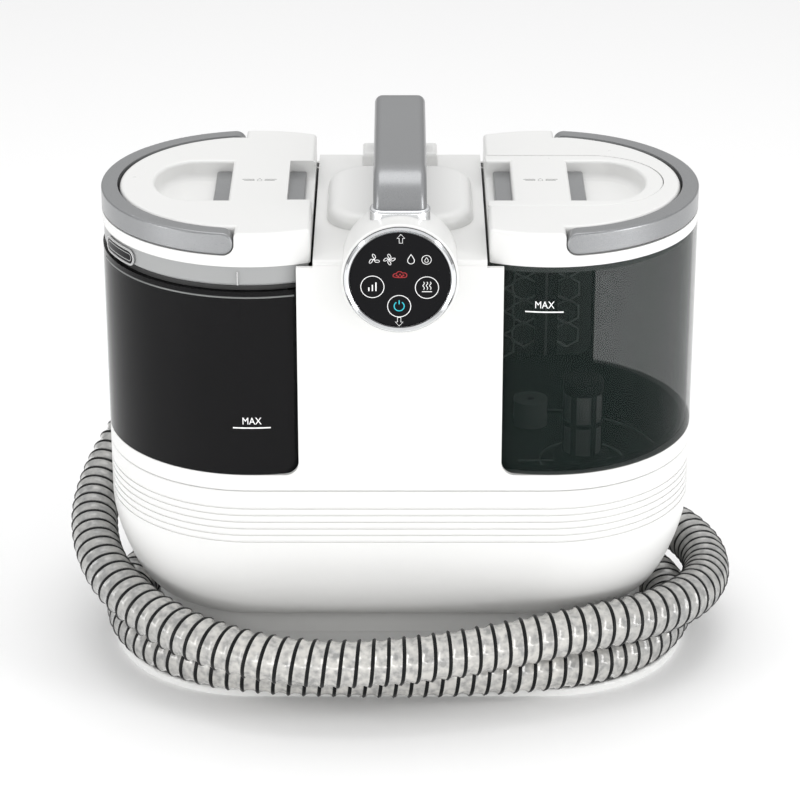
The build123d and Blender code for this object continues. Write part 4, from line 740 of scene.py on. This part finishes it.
# ---------------------------------------------------------------- small pieces on the tanks
def start_edit():
    """Edit the active object with everything selected, by faces."""
    bpy.ops.object.mode_set(mode="EDIT")
    bpy.ops.mesh.select_mode(type="FACE")
    bpy.ops.mesh.select_all(action="SELECT")


def finish_edit():
    """Close the edit with the faces pointing outwards."""
    bpy.ops.mesh.select_all(action="SELECT")
    bpy.ops.mesh.remove_doubles(threshold=0.000001)
    bpy.ops.mesh.normals_make_consistent(inside=False)
    bpy.ops.object.mode_set(mode="OBJECT")


def apply_modifier(piece, kind, **settings):
    """Add a modifier and apply it."""
    modifier = piece.modifiers.new("shape", kind)
    for name, value in settings.items():
        setattr(modifier, name, value)
    bpy.context.view_layer.objects.active = piece
    bpy.ops.object.modifier_apply(modifier=modifier.name)


def bend_round(piece, middle_x, radius, start):
    """Bend a piece round a tank: X runs along the wall from an angle, and -Y stands out from it."""
    for vertex in piece.data.vertices:
        angle = start + vertex.co.x / radius
        reach = radius - vertex.co.y
        vertex.co = (middle_x + reach * cos(angle), reach * sin(angle), vertex.co.z)


def wall_bead(name, z, radius, start, stop, middle_x, material, body, thick=0.45):
    """A thin round bead along a tank's round wall."""
    count = 64
    curve = bpy.data.curves.new(name, "CURVE")
    curve.dimensions = "3D"
    curve.bevel_depth = thick * MM
    curve.bevel_resolution = 3
    curve.use_fill_caps = True
    spline = curve.splines.new("POLY")
    spline.points.add(count)
    for step, point in enumerate(spline.points):
        angle = start + (stop - start) * step / count
        point.co = (middle_x + radius * cos(angle), radius * sin(angle), z, 1)
    bead = bpy.data.objects.new(name, curve)
    bpy.context.scene.collection.objects.link(bead)
    return settle(merge([bead]), name, material, body)


def rounded_slot(long_half, tall_half, middle_z, rows, columns):
    """A flat slot with round ends, made of small faces so that it can be bent round a tank."""
    clear_selection()
    bpy.ops.mesh.primitive_grid_add(x_subdivisions=columns, y_subdivisions=rows, size=2)
    slot = bpy.context.object
    for vertex in slot.data.vertices:
        across, up = vertex.co.x, vertex.co.y
        x = sin(across * pi / 2) * long_half
        past = max(0.0, abs(x) - (long_half - tall_half)) / tall_half
        vertex.co = (x, 0, middle_z + up * tall_half * max(0.0, 1 - past ** 2) ** 0.5)
    return slot


def pour_window():
    """The long clear-edged slot in the dirty tank's collar, with rounded ends."""
    slot = rounded_slot(POUR_LONG, POUR_TALL, COLLAR_MID_Z, 12, 60)
    start_edit()
    finish_edit()
    apply_modifier(slot, "SOLIDIFY", thickness=0.5 * MM, offset=0)
    bend_round(slot, -END_X, END_R + 0.00005, POUR_ANGLE)
    bpy.ops.object.shade_smooth_by_angle(angle=radians(35))
    settle(slot, "dirty_pour_slot", FINISHES["black_glass"], "dirty_lid_unit")
    for name, grow, thick, material, slot_name in (
            ("dirty_pour_rim", 0.0, 0.75, CLEAR_EDGE, "smoked_clear"),
            ("dirty_pour_lip", 2.4, 0.35, FINISHES["grey_plastic"], "grey_plastic")):
        long_half, tall_half = POUR_LONG - grow * MM, POUR_TALL - grow * MM
        flat, round_end = (long_half - tall_half) / MM, tall_half / MM
        count = 24
        half = [(-flat + 2 * flat * step / count, -round_end) for step in range(1, count)]
        half += oval((flat, 0), round_end, round_end, count=16, start=-pi / 2, sweep=pi)
        outline = half + [(-x, -z) for x, z in half]
        rim = merge([stroke([(x, z + COLLAR_MID_Z / MM) for x, z in outline], thick * 2, closed=True)])
        bend_round(rim, -END_X, END_R + 0.0001, POUR_ANGLE)
        bpy.ops.object.shade_smooth()
        settle(rim, name, material, "dirty_lid_unit")
    tick = merge([stroke([(TICK_X, COLLAR_MID_Z / MM - 4.4), (TICK_X, COLLAR_MID_Z / MM + 4.0)], 0.9)])
    bow = (END_R ** 2 - (TICK_X * MM + END_X) ** 2) ** 0.5
    tick.data.transform(Matrix.Translation((0, -bow + 0.0002, 0)))
    settle(tick, "dirty_collar_tick", CLEAR_EDGE, "dirty_lid_unit")


def honeycomb():
    """Back plate inside the clean tank: hexagonal dishes beside a plain channel, cut to a rounded corner."""
    low_x, high_x, low_z, high_z = TANK_SIDE_X + 0.001, TANK_SIDE_X + 0.069, 0.164, TANK_ROOF_Z
    radius = 9.4 * MM
    clear_selection()
    bpy.ops.mesh.primitive_circle_add(vertices=6, radius=radius, fill_type="NGON", rotation=(pi / 2, 0, 0))
    dish = bpy.context.object
    bpy.ops.object.transform_apply(location=True, rotation=True, scale=True)
    start_edit()
    bpy.ops.mesh.extrude_region_move(TRANSFORM_OT_translate={"value": (0, -1.6 * MM, 0)})
    bpy.ops.mesh.inset(thickness=1.0 * MM)
    bpy.ops.mesh.extrude_region_move(TRANSFORM_OT_translate={"value": (0, 1.0 * MM, 0)})
    bpy.ops.transform.resize(value=(0.86, 1, 0.86))
    finish_edit()
    cells = []
    step_x, step_z = 1.5 * radius, 3 ** 0.5 * radius
    for column in range(6):
        for row in range(9):
            x = low_x + 9.8 * MM + column * step_x
            z = low_z + 6 * MM + row * step_z + (step_z / 2 if column % 2 else 0)
            in_channel = CHANNEL_LOW < x < CHANNEL_HIGH
            if z > high_z - radius * 0.7 or x > high_x - radius * 0.4 or in_channel:
                continue
            cell = dish.copy()
            cell.data = dish.data.copy()
            bpy.context.scene.collection.objects.link(cell)
            cell.location = (x, BACK_WALL_Y, z)
            cells.append(cell)
    bpy.data.objects.remove(dish)
    for left, right, deep in ((low_x, high_x, 0.5 * MM), (CHANNEL_LOW, CHANNEL_HIGH, 3 * MM)):
        clear_selection()
        bpy.ops.mesh.primitive_plane_add(size=1, rotation=(pi / 2, 0, 0))
        board = bpy.context.object
        board.scale = (right - left, high_z - low_z, 1)
        board.location = ((left + right) / 2, BACK_WALL_Y, (low_z + high_z) / 2)
        bpy.ops.object.transform_apply(location=True, rotation=True, scale=True)
        start_edit()
        bpy.ops.mesh.extrude_region_move(TRANSFORM_OT_translate={"value": (0, -deep, 0)})
        finish_edit()
        weights = board.data.attributes.new("bevel_weight_edge", "FLOAT", "EDGE")
        for edge in board.data.edges:
            first, second = (board.data.vertices[index].co for index in edge.vertices)
            if abs(first.y - second.y) > deep / 2 and first.z < low_z + MM:
                weights.data[edge.index].value = 1
        apply_modifier(board, "BEVEL", width=8 * MM, segments=8, limit_method="WEIGHT")
        cells.append(board)
    panel = merge(cells)
    settle(panel, "clean_tank_honeycomb", DISHED_PAINTED_LIGHT, "clean_tank_unit")


def filter_net():
    """Fine net inside the windows of the clean-tank filter."""
    low, high, middle = span("clean_filter")
    clear_selection()
    bpy.ops.mesh.primitive_cylinder_add(vertices=48, radius=12 * MM, depth=high.z - low.z - 8 * MM,
                                        end_fill_type="NOTHING", location=(middle.x, middle.y, middle.z))
    net = bpy.context.object
    apply_modifier(net, "SOLIDIFY", thickness=0.5 * MM)
    bpy.ops.object.shade_smooth_by_angle(angle=radians(30))
    settle(net, "clean_filter_net", NET, "clean_tank_unit")


def floor_ribs():
    """Raised lines moulded in the clean tank's floor: a ring round the filter and a frame by the valve."""
    low, _, middle = span("clean_filter")
    lines = [stroke(oval((middle.x / MM, -middle.y / MM), 27, 27, count=64), 1.6, closed=True),
             stroke([(76, -2), (106, -2), (106, -42), (76, -42)], 1.6, closed=True),
             stroke(oval((END_X / MM, 0), 78, 78, count=60, start=radians(-65), sweep=radians(160)), 1.4)]
    place = Matrix.Translation((0, 0, low.z + 0.0004)) @ Matrix.Rotation(-pi / 2, 4, "X")
    lay_marks(lines, "clean_tank_floor_ribs", SMOKED_GREY, "clean_tank_unit", place, 1.0)


def ring_line(name, radius, thick, y, material):
    """A fine ring round the display."""
    clear_selection()
    bpy.ops.mesh.primitive_torus_add(major_segments=120, minor_segments=10, major_radius=radius * MM,
                                     minor_radius=thick * MM, rotation=(pi / 2, 0, 0),
                                     location=(GLASS_MID.x, y, GLASS_MID.z))
    ring = bpy.context.object
    bpy.ops.object.shade_smooth()
    settle(ring, name, material, "root")


def ribbed_cuff(name, node, count, first, last, radius):
    """Grip rings on a hose cuff."""
    low, high, middle = span(node)
    rings = []
    for step in range(count):
        clear_selection()
        x = low.x + (high.x - low.x) * (first + (last - first) * step / (count - 1))
        bpy.ops.mesh.primitive_torus_add(major_segments=64, minor_segments=8, major_radius=radius,
                                         minor_radius=0.9 * MM, rotation=(0, pi / 2, 0),
                                         location=(x, middle.y, middle.z))
        bpy.ops.object.shade_smooth()
        rings.append(bpy.context.object)
    settle(merge(rings), name, FINISHES["rubber_black"], "root")


def screw_heads():
    """Pan-head screws on the rear cover and the tool dock, each with a cross slot."""
    rear_y = span("rear_cover")[1].y
    dock = span("tool_dock")
    places = [(x, rear_y, z) for x in (-0.082, 0.082) for z in (0.168, 0.284)]
    places += [(x, rear_y + 0.0031, dock[2].z + 0.0145) for x in (-0.060, -0.024)]
    clear_selection()
    bpy.ops.mesh.primitive_cylinder_add(vertices=32, radius=3.4 * MM, depth=1.6 * MM, rotation=(pi / 2, 0, 0))
    head = bpy.context.object
    bpy.ops.object.transform_apply(location=True, rotation=True, scale=True)
    apply_modifier(head, "BEVEL", width=0.7 * MM, segments=3, limit_method="ANGLE")
    for turn in (0, pi / 2):
        clear_selection()
        bpy.ops.mesh.primitive_cube_add(size=1, location=(0, 0.9 * MM, 0), rotation=(0, turn, 0))
        blade = bpy.context.object
        blade.scale = (4.2 * MM, 1.2 * MM, 0.9 * MM)
        apply_modifier(head, "BOOLEAN", operation="DIFFERENCE", object=blade, solver="EXACT")
        bpy.data.objects.remove(blade)
    heads = []
    for place in places:
        copy = head.copy()
        copy.data = head.data.copy()
        bpy.context.scene.collection.objects.link(copy)
        copy.location = place
        heads.append(copy)
    bpy.data.objects.remove(head)
    settle(merge(heads), "rear_screws", FINISHES["steel_pin"], "root")


pour_window()
# Painted highlight: a light grey bead along the dirty tank's front stands in for the light caught by the
# tank's top edge.
wall_bead("dirty_tank_painted_rim_highlight", PAINTED_RIM_HIGHLIGHT_Z, END_R - 0.0002, radians(196), radians(287), -END_X, PAINTED_RIM_HIGHLIGHT,
          "dirty_tank_unit", 0.6)
honeycomb()
filter_net()
floor_ribs()
ring_line("bezel_inner_line", 30.45, 0.34, GLASS_FRONT - 0.0003, FINISHES["dark_plastic"])
ring_line("bezel_middle_line", 31.7, 0.22, GLASS_FRONT - 0.0009, FINISHES["dark_plastic"])
ring_line("bezel_outer_line", 33.35, 0.26, GLASS_FRONT + 0.0001, FINISHES["dark_plastic"])
ribbed_cuff("machine_cuff_rings", "machine_cuff", 4, 0.45, 0.92, 17.5 * MM)
ribbed_cuff("tool_cuff_rings", "tool_cuff", 3, 0.10, 0.55, 17.5 * MM)
screw_heads()


# ---------------------------------------------------------------- floor and light
def add_floor():
    """A plain pale floor."""
    clear_selection()
    bpy.ops.mesh.primitive_plane_add(size=14)
    floor = bpy.context.object
    floor.name = "floor"
    shader = Shader("pale_floor")
    tone = shader.noise(1.2, 2.0)
    shader.set("Base Color", shader.mix(tone, grey(0.98), grey(0.965)))
    shader.set("Roughness", tone * 0.05 + 0.55)
    dress(floor, shader.material)


def add_light(name, place, aim, size, watts):
    """A soft rectangular lamp that faces a point."""
    data = bpy.data.lights.new(name, "AREA")
    data.shape = "RECTANGLE"
    data.size, data.size_y = size
    data.energy = watts
    lamp = bpy.data.objects.new(name, data)
    bpy.context.scene.collection.objects.link(lamp)
    lamp.location = place
    lamp.rotation_euler = (Vector(aim) - Vector(place)).to_track_quat("-Z", "Y").to_euler()


def add_studio():
    """Surroundings that are bright overhead and darker near the horizon, and soft lamps on all open sides."""
    world = bpy.data.worlds.new("studio")
    bpy.context.scene.world = world
    world.use_nodes = True
    tree = world.node_tree
    coordinates = tree.nodes.new("ShaderNodeTexCoord")
    height = tree.nodes.new("ShaderNodeSeparateXYZ")
    fade = tree.nodes.new("ShaderNodeValToRGB")
    fade.color_ramp.elements[0].position = 0.05
    fade.color_ramp.elements[0].color = grey(0.42)
    fade.color_ramp.elements[1].position = 0.55
    fade.color_ramp.elements[1].color = grey(1.0)
    tree.links.new(coordinates.outputs["Generated"], height.inputs[0])
    tree.links.new(height.outputs["Z"], fade.inputs["Fac"])
    background = tree.nodes["Background"]
    tree.links.new(fade.outputs["Color"], background.inputs["Color"])
    background.inputs["Strength"].default_value = 0.875
    bpy.context.scene.view_settings.view_transform = "Standard"
    middle = (0, 0, 0.15)
    add_light("top", (0, 0.30, 1.7), middle, (1.5, 1.0), 7.5)
    add_light("left", (-1.5, -0.8, 0.7), middle, (0.5, 1.2), 5.5)
    add_light("right", (1.5, -0.8, 0.7), middle, (0.5, 1.2), 8.5)
    add_light("front", (0, -2.2, 0.55), (0, 0, 0.1), (2.2, 0.7), 0.8)
    add_light("low", (0, -1.9, 0.16), (0, 0, 0.05), (3.2, 0.25), 5)
    add_light("low_left", (-1.3, -1.0, 0.14), (0, 0, 0.05), (1.6, 0.22), 3.5)
    add_light("low_right", (1.3, -1.0, 0.14), (0, 0, 0.05), (1.6, 0.22), 3.5)


add_floor()
add_studio()
